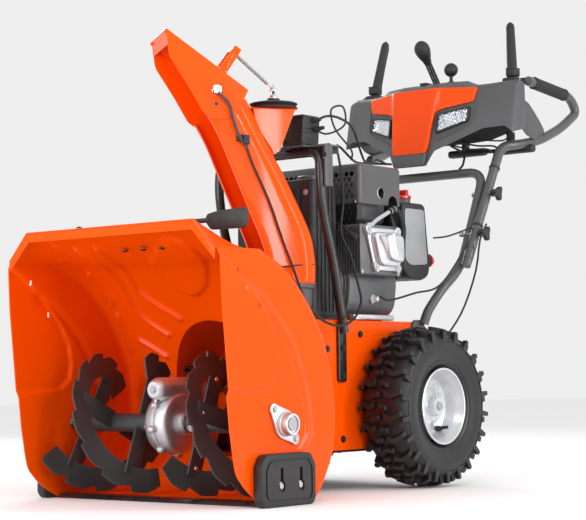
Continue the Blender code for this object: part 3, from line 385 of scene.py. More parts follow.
def carve(shape, *tools, operation="DIFFERENCE"):
    body = tempObject(shape)
    cutters = []
    for tool in tools:
        cutter = tempObject(tool)
        cutters.append(cutter)
        step = body.modifiers.new("cut", "BOOLEAN")
        step.operation = operation
        step.solver = "EXACT"
        step.object = cutter
    mesh = settle(body)
    for cutter in cutters:
        bpy.data.objects.remove(cutter)
    return mesh


pieceCount = 0


def keep(name, shape, look, body, nodes=(), angle=34):
    global pieceCount
    mesh = shape if isinstance(shape, bpy.types.Mesh) else toMesh(shape)
    mesh.name = name
    mesh.transform(Matrix.Translation((0, axleY, 0)))
    mesh.materials.clear()
    mesh.materials.append(looks[look])
    mesh.polygons.foreach_set("material_index", [0] * len(mesh.polygons))
    mesh.shade_smooth()
    mesh.set_sharp_from_angle(angle=math.radians(angle))
    thing = bpy.data.objects.new(name, mesh)
    bpy.context.collection.objects.link(thing)
    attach(thing, body)
    if nodes:
        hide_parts(*nodes)
    pieceCount += 1
    return thing


def dress(node, look):
    # a CAD node keeps its shape and gets a finished material
    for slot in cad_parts[node].material_slots:
        slot.material = looks[look]


def arc(centre, radius, start, end, steps):
    found = []
    for i in range(steps + 1):
        a = math.radians(start + (end - start) * i / steps)
        found.append((centre[0] + radius * math.cos(a), centre[1] + radius * math.sin(a)))
    return found


# node trees for repeated shapes
def newTree(name, **inputs):
    tree = bpy.data.node_groups.new(name, "GeometryNodeTree")
    tree.interface.new_socket("Geometry", in_out="INPUT", socket_type="NodeSocketGeometry")
    for label, value in inputs.items():
        kind = "NodeSocketInt" if isinstance(value, int) else "NodeSocketFloat"
        made = tree.interface.new_socket(label, in_out="INPUT", socket_type=kind)
        made.default_value = value
    made = tree.interface.new_socket("Material", in_out="INPUT", socket_type="NodeSocketMaterial")
    tree.interface.new_socket("Geometry", in_out="OUTPUT", socket_type="NodeSocketGeometry")
    start = tree.nodes.new("NodeGroupInput")
    end = tree.nodes.new("NodeGroupOutput")

    def node(kind, **settings):
        made = tree.nodes.new(kind)
        for key, value in settings.items():
            setattr(made, key, value)
        return made

    def link(a, b):
        tree.links.new(a, b)

    def finishTree(geometry):
        real = node("GeometryNodeRealizeInstances")
        link(geometry, real.inputs["Geometry"])
        coat = node("GeometryNodeSetMaterial")
        link(real.outputs["Geometry"], coat.inputs["Geometry"])
        link(start.outputs["Material"], coat.inputs["Material"])
        link(coat.outputs["Geometry"], end.inputs["Geometry"])

    return tree, start, node, link, finishTree


def runTree(tree, look, startMesh=None, **values):
    mesh = startMesh or bpy.data.meshes.new("seed")
    thing = bpy.data.objects.new("temp", mesh)
    bpy.context.collection.objects.link(thing)
    step = thing.modifiers.new("tree", "NODES")
    step.node_group = tree
    for item in tree.interface.items_tree:
        if item.in_out != "INPUT" or item.name == "Geometry":
            continue
        if item.name == "Material":
            step[item.identifier] = looks[look]
        elif item.name in values:
            step[item.identifier] = values[item.name]
    return settle(thing)


def boltTree():
    # a washer and a hexagon head at each point, facing its aim
    tree, start, node, link, done = newTree("bolts", HeadRadius=0.0075, HeadHeight=0.005, WasherRadius=0.010,
                                            WasherHeight=0.0015)
    parts = node("GeometryNodeJoinGeometry")
    shapes = (("WasherRadius", "WasherHeight", 20, 0.5), ("HeadRadius", "HeadHeight", 6, 0.5))
    for radius, height, sides, half in shapes:
        solid = node("GeometryNodeMeshCylinder")
        solid.inputs["Vertices"].default_value = sides
        link(start.outputs[radius], solid.inputs["Radius"])
        link(start.outputs[height], solid.inputs["Depth"])
        lift = node("ShaderNodeMath", operation="MULTIPLY")
        lift.inputs[1].default_value = half
        link(start.outputs[height], lift.inputs[0])
        place = node("ShaderNodeCombineXYZ")
        link(lift.outputs[0], place.inputs["Z"])
        move = node("GeometryNodeTransform")
        link(solid.outputs["Mesh"], move.inputs["Geometry"])
        link(place.outputs[0], move.inputs["Translation"])
        link(move.outputs["Geometry"], parts.inputs["Geometry"])
    spots = node("GeometryNodeMeshToPoints")
    link(start.outputs["Geometry"], spots.inputs["Mesh"])
    aim = node("GeometryNodeInputNamedAttribute", data_type="FLOAT_VECTOR")
    aim.inputs["Name"].default_value = "aim"
    size = node("GeometryNodeInputNamedAttribute", data_type="FLOAT")
    size.inputs["Name"].default_value = "size"
    face = node("FunctionNodeAlignRotationToVector", axis="Z")
    link(aim.outputs["Attribute"], face.inputs["Vector"])
    copies = node("GeometryNodeInstanceOnPoints")
    link(spots.outputs["Points"], copies.inputs["Points"])
    link(parts.outputs["Geometry"], copies.inputs["Instance"])
    link(face.outputs["Rotation"], copies.inputs["Rotation"])
    link(size.outputs["Attribute"], copies.inputs["Scale"])
    done(copies.outputs["Instances"])
    return tree


bolts = boltTree()


def boltMesh(spots, look, **values):
    # spots: (place, aim, size)
    mesh = bpy.data.meshes.new("boltSpots")
    mesh.from_pydata([s[0] for s in spots], [], [])
    mesh.attributes.new("aim", "FLOAT_VECTOR", "POINT")
    mesh.attributes.new("size", "FLOAT", "POINT")
    mesh.attributes["aim"].data.foreach_set("vector", [c for s in spots for c in s[1]])
    mesh.attributes["size"].data.foreach_set("value", [float(s[2]) for s in spots])
    return runTree(bolts, look, mesh, **values)


def ringTree():
    # rings at even steps along a curve, for ribbed sleeves and coiled springs
    tree, start, node, link, done = newTree("rings", Count=30, RingRadius=0.006, WireRadius=0.001)
    path = node("GeometryNodeMeshToCurve")
    link(start.outputs["Geometry"], path.inputs["Mesh"])
    even = node("GeometryNodeResampleCurve")
    link(path.outputs["Curve"], even.inputs["Curve"])
    link(start.outputs["Count"], even.inputs["Count"])
    ring = node("GeometryNodeCurvePrimitiveCircle")
    ring.inputs["Resolution"].default_value = 14
    link(start.outputs["RingRadius"], ring.inputs["Radius"])
    wire = node("GeometryNodeCurvePrimitiveCircle")
    wire.inputs["Resolution"].default_value = 6
    link(start.outputs["WireRadius"], wire.inputs["Radius"])
    solid = node("GeometryNodeCurveToMesh")
    link(ring.outputs["Curve"], solid.inputs["Curve"])
    link(wire.outputs["Curve"], solid.inputs["Profile Curve"])
    spots = node("GeometryNodeCurveToPoints", mode="EVALUATED")
    link(even.outputs["Curve"], spots.inputs["Curve"])
    copies = node("GeometryNodeInstanceOnPoints")
    link(spots.outputs["Points"], copies.inputs["Points"])
    link(solid.outputs["Mesh"], copies.inputs["Instance"])
    link(spots.outputs["Rotation"], copies.inputs["Rotation"])
    done(copies.outputs["Instances"])
    return tree


rings = ringTree()


def ringMesh(path, look, **values):
    mesh = bpy.data.meshes.new("ringPath")
    mesh.from_pydata([tuple(p) for p in path], [(i, i + 1) for i in range(len(path) - 1)], [])
    return runTree(rings, look, mesh, **values)


def slabTree():
    # evenly spaced slabs along a line, for cooling fins, grilles and grip ribs
    tree, start, node, link, done = newTree("slabs", Count=8, StepX=0.0, StepY=0.0, StepZ=0.01,
                                            SizeX=0.1, SizeY=0.1, SizeZ=0.002)
    line = node("GeometryNodeMeshLine", mode="OFFSET")
    link(start.outputs["Count"], line.inputs["Count"])
    step = node("ShaderNodeCombineXYZ")
    size = node("ShaderNodeCombineXYZ")
    for axis in "XYZ":
        link(start.outputs["Step" + axis], step.inputs[axis])
        link(start.outputs["Size" + axis], size.inputs[axis])
    link(step.outputs[0], line.inputs["Offset"])
    slab = node("GeometryNodeMeshCube")
    link(size.outputs[0], slab.inputs["Size"])
    copies = node("GeometryNodeInstanceOnPoints")
    link(line.outputs["Mesh"], copies.inputs["Points"])
    link(slab.outputs["Mesh"], copies.inputs["Instance"])
    done(copies.outputs["Instances"])
    return tree


slabs = slabTree()


def slabMesh(origin, look, step, size, count):
    mesh = runTree(slabs, look, Count=count, StepX=step[0], StepY=step[1], StepZ=step[2],
                   SizeX=size[0], SizeY=size[1], SizeZ=size[2])
    mesh.transform(Matrix.Translation(origin))
    return mesh


# camera, light and floor
view = {"lens": 108.17, "spot": (2.609, -3.482, 0.2665), "heading": 38.71, "rise": 3.76, "roll": -0.67,
        "shiftX": 0.0, "shiftY": 0.0}


def makeCamera():
    a, p, r = (math.radians(view[key]) for key in ("heading", "rise", "roll"))
    ahead = Vector((-math.sin(a) * math.cos(p), math.cos(a) * math.cos(p), math.sin(p)))
    right = ahead.cross(Vector((0, 0, 1))).normalized()
    up = right.cross(ahead)
    tiltRight = right * math.cos(r) + up * math.sin(r)
    tiltUp = up * math.cos(r) - right * math.sin(r)
    camera = bpy.data.objects.new("camera", bpy.data.cameras.new("camera"))
    camera.data.lens = view["lens"]
    camera.data.sensor_width = 36
    camera.matrix_world = Matrix((tiltRight, tiltUp, -ahead)).transposed().to_4x4()
    camera.location = Vector(view["spot"]) + Vector((0, axleY, 0))
    camera.data.shift_x = view["shiftX"]
    camera.data.shift_y = view["shiftY"]
    bpy.context.collection.objects.link(camera)
    bpy.context.scene.camera = camera


def areaLight(name, spot, target, size, power, tall=None):
    data = bpy.data.lights.new(name, "AREA")
    data.energy = power
    data.size = size
    if tall:
        data.shape = "RECTANGLE"
        data.size_y = tall
    lamp = bpy.data.objects.new(name, data)
    lamp.location = spot
    lamp.rotation_euler = (Vector(target) - Vector(spot)).to_track_quat("-Z", "Y").to_euler()
    bpy.context.collection.objects.link(lamp)


def makeStage():
    bm = bmesh.new()
    bmesh.ops.create_circle(bm, cap_ends=True, segments=64, radius=14)
    floor = bpy.data.objects.new("floor", toMesh(bm, "floor"))
    floor.location = (0, 0, -0.0005)
    paper = bpy.data.materials.new("paper")
    paper.use_nodes = True
    shader = paper.node_tree.nodes["Principled BSDF"]
    shader.inputs["Base Color"].default_value = (0.93, 0.93, 0.93, 1)
    shader.inputs["Roughness"].default_value = 0.9
    floor.data.materials.append(paper)
    bpy.context.collection.objects.link(floor)
    world = bpy.data.worlds.new("studio")
    world.use_nodes = True
    world.node_tree.nodes["Background"].inputs["Color"].default_value = (1, 1, 1, 1)
    world.node_tree.nodes["Background"].inputs["Strength"].default_value = 0.86
    bpy.context.scene.world = world
    bpy.context.scene.view_settings.view_transform = "Standard"
    areaLight("key", (2.2, -2.8, 2.8), (0, -0.2, 0.4), 1.2, 19)
    areaLight("stripe", (3.0, 0.8, 1.1), (0.1, -0.3, 0.6), 0.5, 44, 2.4)
    areaLight("strip", (2.97, -1.36, 0.95), (0.13, -0.37, 0.65), 0.09, 14, 1.3)
    areaLight("fill", (-0.3, -3.4, 1.0), (-0.05, -0.6, 0.25), 1.6, 42)
    areaLight("rim", (-2.6, 1.8, 2.2), (0, 0, 0.5), 1.2, 28)


makeCamera()
makeStage()
print("camera, light and floor ready")

# auger housing
housing = {
    "half": 0.305, "frontY": -0.852, "roofZ": 0.585, "cornerX": 0.245, "cornerZ": 0.525, "sheet": 0.003,
    "line": [(-0.852, 0.585), (-0.709, 0.528), (-0.655, 0.506), (-0.600, 0.468), (-0.545, 0.413),
             (-0.505, 0.353), (-0.478, 0.293), (-0.465, 0.230), (-0.4615, 0.167), (-0.467, 0.120),
             (-0.482, 0.080), (-0.509, 0.040), (-0.545, 0.013), (-0.580, 0.0065), (-0.660, 0.0065)],
    "mouth": (0.24, 0.152),  # height and radius of the impeller opening
    "ribHeight": 0.0085, "ribWidth": 0.0056,
    # pressed ribs in the back, as points on the sheet
    "ribs": [
        [(-0.111, -0.772, 0.553), (-0.120, -0.701, 0.525), (-0.148, -0.616, 0.479), (-0.142, -0.586, 0.454),
         (-0.117, -0.561, 0.429), (-0.078, -0.537, 0.400)],
        [(-0.173, -0.772, 0.553), (-0.166, -0.717, 0.531), (-0.181, -0.639, 0.495), (-0.195, -0.574, 0.442),
         (-0.182, -0.537, 0.402), (-0.135, -0.513, 0.364)],
        [(-0.217, -0.800, 0.564), (-0.228, -0.712, 0.529)],
        [(-0.246, -0.659, 0.508), (-0.255, -0.575, 0.443)],
        [(-0.266, -0.546, 0.414), (-0.272, -0.495, 0.332)],
        [(-0.232, -0.507, 0.356), (-0.165, -0.488, 0.316)],
    ],
    "oval": [(0.109, -0.789, 0.560), (0.147, -0.755, 0.546), (0.140, -0.710, 0.529), (0.125, -0.674, 0.514),
             (0.087, -0.623, 0.484), (0.054, -0.594, 0.462), (0.005, -0.576, 0.444), (-0.029, -0.590, 0.458),
             (-0.045, -0.624, 0.484), (-0.029, -0.690, 0.520)],
    "ovalStep": 0.0060,
    "roofBolts": [(-0.036, -0.760), (0.021, -0.763), (0.072, -0.760)],
}


def lineDistance(points, line):
    # distance of many points to a polyline
    points = np.asarray(points, float)
    best = np.full(len(points), 1e9)
    for a, b in zip(line, line[1:]):
        a, b = np.asarray(a, float), np.asarray(b, float)
        along = b - a
        t = np.clip(((points - a) @ along) / (along @ along), 0, 1)
        best = np.minimum(best, np.linalg.norm(points - (a + t[:, None] * along), axis=1))
    return best


def insideOutline(points, outline):
    # which (a, b) points lie inside a closed outline
    points = np.asarray(points, float)
    found = np.zeros(len(points), bool)
    for (a0, b0), (a1, b1) in zip(outline, outline[1:] + outline[:1]):
        crosses = (b0 > points[:, 1]) != (b1 > points[:, 1])
        where = a0 + (points[:, 1] - b0) * (a1 - a0) / ((b1 - b0) or 1e-12)
        found ^= crosses & (points[:, 0] < where)
    return found


def makeWrap():
    h = housing
    line = [(p[1], p[2]) for p in smoothPath([(0, y, z) for y, z in h["line"]], 13)]
    line[-1] = h["line"][-1]
    columns = 180
    grid = []
    for y, z in line:
        row = []
        half = h["half"] - 0.0045 - 0.0045 * min(1.0, max(0.0, (y + 0.73) / 0.04))
        for j in range(columns + 1):
            x = -half + 2 * half * j / columns
            level = z
            over = max(0.0, (abs(x) - h["cornerX"]) / (0.3004 - h["cornerX"]))
            if y < -0.709:
                corner = h["cornerZ"] - 0.002 * (y - h["frontY"]) / 0.14
                level = z + (min(corner, z) - z) * over
            row.append(Vector((x, y, level)))
        grid.append(row)
    normals = gridNormals(grid)
    flat = [tuple(p) for row in grid for p in row]
    height = np.zeros(len(flat))
    for rib in h["ribs"]:
        smooth = [tuple(p) for p in smoothPath(rib, 5)]
        height += h["ribHeight"] * np.exp(-(lineDistance(flat, smooth) / h["ribWidth"]) ** 2)
    ring = smoothOutline([(x, y) for x, y, z in h["oval"]], 5)
    plan = [(p[0], p[1]) for p in flat]
    inside = insideOutline(plan, ring) & (np.array(flat)[:, 2] > 0.40)
    edge = lineDistance(plan, ring + ring[:1])
    height += h["ovalStep"] * np.clip(np.where(inside, edge, 0) / 0.007, 0, 1)
    heights = height.reshape(len(grid), columns + 1)
    outer, inner = [], []
    middle = Vector((0, -0.65, 0.2))  # the sheet's inner side lies towards the augers
    for i, row in enumerate(grid):
        outerRow, innerRow = [], []
        for j, p in enumerate(row):
            n = normals[i][j]
            if n.dot(middle - p) < 0:
                n = -n
            push = float(heights[i][j])
            outerRow.append(p + n * push)
            innerRow.append(p + n * (push + h["sheet"]))
        outer.append(outerRow)
        inner.append(innerRow)
    mouth = lathe([(0, -0.62), (h["mouth"][1], -0.62), (h["mouth"][1], -0.30), (0, -0.30)], "y",
                  (0, 0, h["mouth"][0]), 72)
    return carve(shell(outer, inner), mouth)


keep("housingWrap", makeWrap(), "orangePaint", "chassis", ["housing_wrap"], 25)


def makeLip():
    # folded flange along the roof's front edge
    h = housing
    x, z, cx, cz = 0.3004, h["roofZ"], h["cornerX"], h["cornerZ"]
    outline = [(-cx, z), (cx, z), (x, cz), (x, cz - 0.025), (cx - 0.006, z - 0.022), (-cx + 0.006, z - 0.022),
               (-x, cz - 0.025), (-x, cz)]
    return prism(outline, "y", h["frontY"] + 0.0002, h["frontY"] + 0.0034, 0.0010)


keep("housingLip", makeLip(), "orangePaint", "chassis")

panel = {
    "outline": [(-0.709, 0.527), (-0.655, 0.508), (-0.598, 0.471), (-0.542, 0.415), (-0.502, 0.355),
                (-0.475, 0.294), (-0.462, 0.230), (-0.4585, 0.167), (-0.464, 0.119), (-0.479, 0.078),
                (-0.507, 0.037), (-0.544, 0.0095), (-0.580, 0.003), (-0.692, 0.002), (-0.719, 0.009),
                (-0.755, 0.030), (-0.779, 0.051), (-0.798, 0.079), (-0.814, 0.160), (-0.822, 0.232),
                (-0.841, 0.418), (-0.846, 0.525)],
    "field": [(-0.900, 0.226), (-0.826, 0.2265), (-0.746, 0.234), (-0.690, 0.238), (-0.660, 0.262),
              (-0.654, 0.300), (-0.662, 0.345), (-0.690, 0.395), (-0.745, 0.452), (-0.900, 0.560)],
    "fieldStep": 0.0068, "fieldEdge": 0.012,
    "crest": [(-0.754, 0.447), (-0.710, 0.422), (-0.669, 0.386), (-0.620, 0.334), (-0.588, 0.268),
              (-0.569, 0.215), (-0.560, 0.152), (-0.574, 0.127), (-0.588, 0.111)],
    "crestStep": 0.0048, "crestWidth": 0.010,
    "curl": 0.017, "slots": [(-0.785, 0.480), (-0.726, 0.410)], "slotSize": (0.0035, 0.0055),
    "rings": [0, 0.0012, 0.0028, 0.005, 0.0078, 0.011, 0.0145, 0.018, 0.022, 0.027],
}


def makePanel(side):
    p = panel
    smooth = [(a[1], a[2]) for a in smoothPath([(0, y, z) for y, z in p["outline"][:19]], 8)]
    front = p["outline"][18:]
    rim = smooth[:-1]
    for (y0, z0), (y1, z1) in zip(front, front[1:] + p["outline"][:1]):
        n = max(2, int(math.hypot(y1 - y0, z1 - z0) / 0.008))
        rim += [(y0 + (y1 - y0) * k / n, z0 + (z1 - z0) * k / n) for k in range(n)]
    centre = (-0.665, 0.262)
    rim = np.array(rim)
    # every ring steps in towards the centre
    inward = np.array(centre) - rim
    inward /= np.linalg.norm(inward, axis=1, keepdims=True)
    rows = [rim + inward * d for d in p["rings"]]
    last = rows[-1]
    for t in np.linspace(0, 0.985, 58)[1:]:
        rows.append(last + (np.array(centre) - last) * t)
    flat = np.concatenate(rows)
    edge = lineDistance([(a, b, 0) for a, b in flat], [(a, b, 0) for a, b in rim.tolist() + rim.tolist()[:1]])
    # the rear rim rolls inwards, the front edge stays flat
    lean = np.clip((flat[:, 0] + 0.735) / 0.05, 0, 1) * np.clip((flat[:, 1] - 0.012) / 0.05, 0, 1)
    r = p["curl"]
    roll = r - np.sqrt(np.clip(r ** 2 - np.clip(r - edge, 0, r) ** 2, 0, None))
    height = -roll * lean
    field = insideOutline(flat, p["field"])
    away = lineDistance([(a, b, 0) for a, b in flat], [(a, b, 0) for a, b in p["field"]])
    ease = np.clip(np.where(field, away, 0) / p["fieldEdge"], 0, 1)
    height += p["fieldStep"] * ease * ease * (3 - 2 * ease)
    crest = lineDistance([(a, b, 0) for a, b in flat], [(q[0], q[1], 0) for q in smoothPath(
        [(a, b, 0) for a, b in p["crest"]], 4)])
    height += p["crestStep"] * np.exp(-(crest / p["crestWidth"]) ** 2)
    outer = housing["half"] + height
    inner = np.minimum(outer - 0.003, outer - 0.0022)
    n = len(rim)
    bm = bmesh.new()
    layers = []
    for level in (outer, inner):
        verts = [bm.verts.new((side * level[i], flat[i][0], flat[i][1])) for i in range(len(flat))]
        layers.append(verts)
    for verts in layers:
        for a in range(len(rows) - 1):
            for b in range(n):
                c = (b + 1) % n
                bm.faces.new((verts[a * n + b], verts[a * n + c], verts[(a + 1) * n + c], verts[(a + 1) * n + b]))
        bm.faces.new(verts[-n:])
    for b in range(n):
        c = (b + 1) % n
        bm.faces.new((layers[0][b], layers[0][c], layers[1][c], layers[1][b]))
    cutters = []
    for y, z in p["slots"]:
        a, b = p["slotSize"]
        cutters.append(box((0.29, y - a, z - b) if side > 0 else (-0.33, y - a, z - b),
                           (0.33, y + a, z + b) if side > 0 else (-0.29, y + a, z + b)))
    low, high = sorted((side * 0.28, side * 0.34))
    cutters.append(lathe([(0, low), (0.020, low), (0.020, high), (0, high)], "x", (0, -0.647, 0.167), 32))
    return carve(bm, *cutters)


for side, name in ((1, "left"), (-1, "right")):
    keep(f"{name}Panel", makePanel(side), "orangePaint", "chassis", [f"side_panel_{name}"], 22)

scraper = {"line": [(-0.6605, 0.0008), (-0.6605, 0.0095), (-0.700, 0.0095), (-0.712, 0.0008)], "half": 0.299}
keep("scraperBlade", prism(scraper["line"], "x", -scraper["half"], scraper["half"], 0.0006), "blackPaint",
     "chassis", ["scraper_bar"])
print("housing sheets ready")

drum = {"radius": 0.155, "bore": 0.152, "rear": -0.331, "height": 0.24, "spout": (0.087, -0.400, 0.0648, 0.0618)}


def makeDrum():
    d = drum
    can = lathe([(0, -0.56), (d["radius"], -0.56), (d["radius"], d["rear"] - 0.004),
                 (d["radius"] - 0.004, d["rear"]), (0, d["rear"])], "y", (0, 0, d["height"]), 72)
    line = [(y + 0.0006, z) for y, z in housing["line"][1:-2]]
    bucket = prism(line + [(-0.9, 0.0), (-0.9, 0.55)], "x", -0.31, 0.31)
    x, y, outer, inner = d["spout"]
    spout = lathe([(0, 0.22), (outer, 0.22), (outer, 0.428), (0, 0.428)], "z", (x, y, 0), 48)
    bore = lathe([(0, -0.6), (d["bore"], -0.6), (d["bore"], d["rear"] - 0.003), (0, d["rear"] - 0.003)], "y",
                 (0, 0, d["height"]), 72)
    throat = lathe([(0, 0.23), (inner, 0.23), (inner, 0.45), (0, 0.45)], "z", (x, y, 0), 48)
    hole = lathe([(0, -0.4), (0.0135, -0.4), (0.0135, -0.3), (0, -0.3)], "y", (0, 0, d["height"]), 24)
    whole = carve(carve(can, bucket), spout, operation="UNION")
    return carve(whole, carve(bore, throat, operation="UNION"), hole)


keep("impellerDrum", makeDrum(), "orangePaint", "chassis", ["impeller_housing"])

collar = {"profile": [(0.0656, 0.397), (0.0745, 0.397), (0.0765, 0.400), (0.083, 0.430), (0.083, 0.4605),
                      (0.0885, 0.4635), (0.0885, 0.4720), (0.0656, 0.4720)], "spot": (0.087, -0.400)}


def collarRib(a, r, t):
    # shallow upright ribs round the collar's cone
    return -0.0012 if r > 0.075 and t < 0.46 and math.sin(a * 18) > 0.55 else 0.0


keep("chuteCollar", lathe(collar["profile"], "z", (*collar["spot"], 0), 144, collarRib), "greyPlastic",
     "chassis", ["chute_collar"])

bearing = {"y": -0.647, "z": 0.167, "ears": [(-0.034, 0.031), (0.034, -0.031)]}


def makeBearing(side):
    outline = []
    for (dy, dz), begin in zip(bearing["ears"], (45, 225)):
        outline += arc((dy, dz), 0.0125, begin, begin + 180, 12)
        outline += arc((0, 0), 0.031, begin + 150, begin + 210, 8)
    outline = [(bearing["y"] + a, bearing["z"] + b) for a, b in outline]
    low, high = sorted((side * 0.3056, side * 0.3115))
    flange = prism(outline, "x", low, high, 0.0012)
    steps = [(0.0133, 0.3058), (0.0265, 0.3058), (0.0255, 0.3165), (0.0235, 0.3185), (0.0232, 0.3300),
             (0.0218, 0.3330), (0.0178, 0.3330), (0.0172, 0.3290), (0.0133, 0.3290)]
    hub = lathe([(r, side * t) for r, t in steps], "x", (0, bearing["y"], bearing["z"]), 48)
    return join(flange, hub)


skid = {"outline": [(-0.745, 0.012), (-0.735, 0.0), (-0.577, 0.0), (-0.567, 0.012), (-0.567, 0.083),
                    (-0.582, 0.106), (-0.595, 0.108), (-0.717, 0.108), (-0.730, 0.106), (-0.745, 0.083)],
        "slots": (-0.680, -0.617), "inner": 0.3056, "outer": 0.3285}


def makeSkid(side):
    s = skid
    low, high = sorted((side * s["inner"], side * s["outer"]))
    shoe = prism(roundOutline(s["outline"], 0.007), "x", low, high, 0.0035, 3)
    cutters = []
    centre = (-0.656, 0.055)
    face = [(centre[0] + (y - centre[0]) * 0.86, centre[1] + (z - centre[1]) * 0.80) for y, z in s["outline"]]
    groove = [(centre[0] + (y - centre[0]) * 0.80, centre[1] + (z - centre[1]) * 0.72) for y, z in s["outline"]]
    low, high = sorted((side * (s["outer"] - 0.0022), side * 0.34))
    ring = carve(prism(roundOutline(face, 0.007), "x", low, high), prism(roundOutline(groove, 0.006), "x",
                                                                        min(low, high) - 0.01, high + 0.01))
    cutters.append(ring)
    for y in s["slots"]:
        low, high = sorted((side * 0.30, side * 0.34))
        hole = [(y - 0.0045, 0.036), (y + 0.0045, 0.036), (y + 0.0045, 0.079), (y - 0.0045, 0.079)]
        cutters.append(prism(roundOutline(hole, 0.0044), "x", low, high))
        low, high = sorted((side * (s["outer"] - 0.0035), side * 0.34))
        dish = [(y - 0.010, 0.030), (y + 0.010, 0.030), (y + 0.010, 0.052), (y - 0.010, 0.052)]
        cutters.append(prism(roundOutline(dish, 0.0095), "x", low, high))
    return carve(shoe, *cutters)


for side, name in ((1, "left"), (-1, "right")):
    keep(f"{name}Bearing", makeBearing(side), "castAluminium", "chassis", [f"bearing_{name}"])
    spots = [((side * 0.3115, bearing["y"] + a * 1.0, bearing["z"] + b), (side, 0, 0), 0.75)
             for a, b in bearing["ears"]]
    keep(f"{name}BearingBolts", boltMesh(spots, "steel"), "steel", "chassis")
    keep(f"{name}Skid", makeSkid(side), "blackPlastic", f"skid_{name}", [f"skid_{name}"])
    spots = [((side * 0.3235, y, 0.042), (side, 0, 0), 0.85) for y in skid["slots"]]
    keep(f"{name}SkidBolts", boltMesh(spots, "steel", HeadHeight=0.0045), "steel", f"skid_{name}")

roofSpots = [((x, y, 0.5395), (0, 0, -1), 0.8) for x, y in housing["roofBolts"]]
keep("roofBolts", boltMesh(roofSpots, "blackPaint"), "blackPaint", "chassis")
print("drum, collar, bearings and skids ready")

# augers: a helical blade whose edge steps in and out
augerData = {"y": -0.647, "z": 0.167, "outer": 0.1545, "inner": 0.101, "from": 0.066, "to": 0.278,
             "turn": 250, "thick": 0.0034, "teeth": 9, "notch": 0.0115}


def ribbonTree():
    # a flat grid wound into a helix, with a toothed outer edge and a little thickness
    tree, start, node, link, done = newTree("ribbon", Start=0.0, Turn=4.36, FromX=0.066, ToX=0.278, Inner=0.108,
                                            Outer=0.1525, Teeth=7.0, Notch=0.008, Thickness=0.0034)

    def math2(operation, a, b=None, c=None):
        made = node("ShaderNodeMath", operation=operation)
        for i, value in enumerate((a, b, c)):
            if value is None:
                continue
            if isinstance(value, (int, float)):
                made.inputs[i].default_value = value
            else:
                link(value, made.inputs[i])
        return made.outputs[0]

    grid = node("GeometryNodeMeshGrid")
    grid.inputs["Size X"].default_value = 1
    grid.inputs["Size Y"].default_value = 1
    grid.inputs["Vertices X"].default_value = 169
    grid.inputs["Vertices Y"].default_value = 8
    spot = node("GeometryNodeInputPosition")
    split = node("ShaderNodeSeparateXYZ")
    link(spot.outputs[0], split.inputs[0])
    u = math2("ADD", split.outputs["X"], 0.5)
    v = math2("ADD", split.outputs["Y"], 0.5)
    phase = math2("FRACT", math2("MULTIPLY", u, start.outputs["Teeth"]))
    # each tooth rises slowly and falls back at once
    low = math2("MINIMUM", math2("MULTIPLY", math2("MAXIMUM", math2("SUBTRACT", phase, 0.06), 0.0), 2.4), 1.0)
    depth = math2("MULTIPLY", math2("SUBTRACT", 1.0, low), start.outputs["Notch"])
    outer = math2("SUBTRACT", start.outputs["Outer"], depth)
    radius = math2("MULTIPLY_ADD", math2("SUBTRACT", outer, start.outputs["Inner"]), v, start.outputs["Inner"])
    angle = math2("MULTIPLY_ADD", u, start.outputs["Turn"], start.outputs["Start"])
    x = math2("MULTIPLY_ADD", math2("SUBTRACT", start.outputs["ToX"], start.outputs["FromX"]), u,
              start.outputs["FromX"])
    y = math2("MULTIPLY", radius, math2("COSINE", angle))
    z = math2("MULTIPLY", radius, math2("SINE", angle))
    place = node("ShaderNodeCombineXYZ")
    link(x, place.inputs["X"])
    link(y, place.inputs["Y"])
    link(z, place.inputs["Z"])
    wind = node("GeometryNodeSetPosition")
    link(grid.outputs["Mesh"], wind.inputs["Geometry"])
    link(place.outputs[0], wind.inputs["Position"])
    both = node("GeometryNodeJoinGeometry")
    grow = node("GeometryNodeExtrudeMesh", mode="FACES")
    grow.inputs["Individual"].default_value = False
    link(wind.outputs["Geometry"], grow.inputs["Mesh"])
    link(start.outputs["Thickness"], grow.inputs["Offset Scale"])
    flip = node("GeometryNodeFlipFaces")
    link(wind.outputs["Geometry"], flip.inputs["Mesh"])
    link(grow.outputs["Mesh"], both.inputs["Geometry"])
    link(flip.outputs["Mesh"], both.inputs["Geometry"])
    weld = node("GeometryNodeMergeByDistance")
    weld.inputs["Distance"].default_value = 1e-6
    link(both.outputs["Geometry"], weld.inputs["Geometry"])
    done(weld.outputs["Geometry"])
    return tree


ribbons = ribbonTree()


def makeAuger(side, lead):
    a = augerData
    shapes = []
    for n in range(2):
        first = lead + 180 * n
        blade = runTree(ribbons, "augerPaint", Start=math.radians(first), Turn=math.radians(side * a["turn"]),
                        FromX=side * a["from"], ToX=side * a["to"], Inner=a["inner"], Outer=a["outer"],
                        Teeth=float(a["teeth"]), Notch=a["notch"], Thickness=a["thick"])
        blade.transform(Matrix.Translation((0, a["y"], a["z"])))
        bm = bmesh.new()
        bm.from_mesh(blade)
        shapes.append(bm)
        for t in (0.12, 0.5, 0.88):
            turned = math.radians(first + side * a["turn"] * t)
            x = side * (a["from"] + (a["to"] - a["from"]) * t)
            arm = box((x - 0.0022, 0.017, -0.0205), (x + 0.0022, 0.120, 0.0205), 0.0008, 2)
            bmesh.ops.rotate(arm, verts=arm.verts, cent=(0, 0, 0), matrix=Matrix.Rotation(turned, 3, "X"))
            shapes.append(shift(arm, (0, a["y"], a["z"])))
    ends = sorted((side * 0.050, side * 0.292))
    tube = lathe([(0.0131, ends[0]), (0.0200, ends[0]), (0.0205, ends[0] + 0.002), (0.0205, ends[1] - 0.002),
                  (0.0200, ends[1]), (0.0131, ends[1])], "x", (0, a["y"], a["z"]), 40)
    shapes.append(tube)
    return join(*shapes)


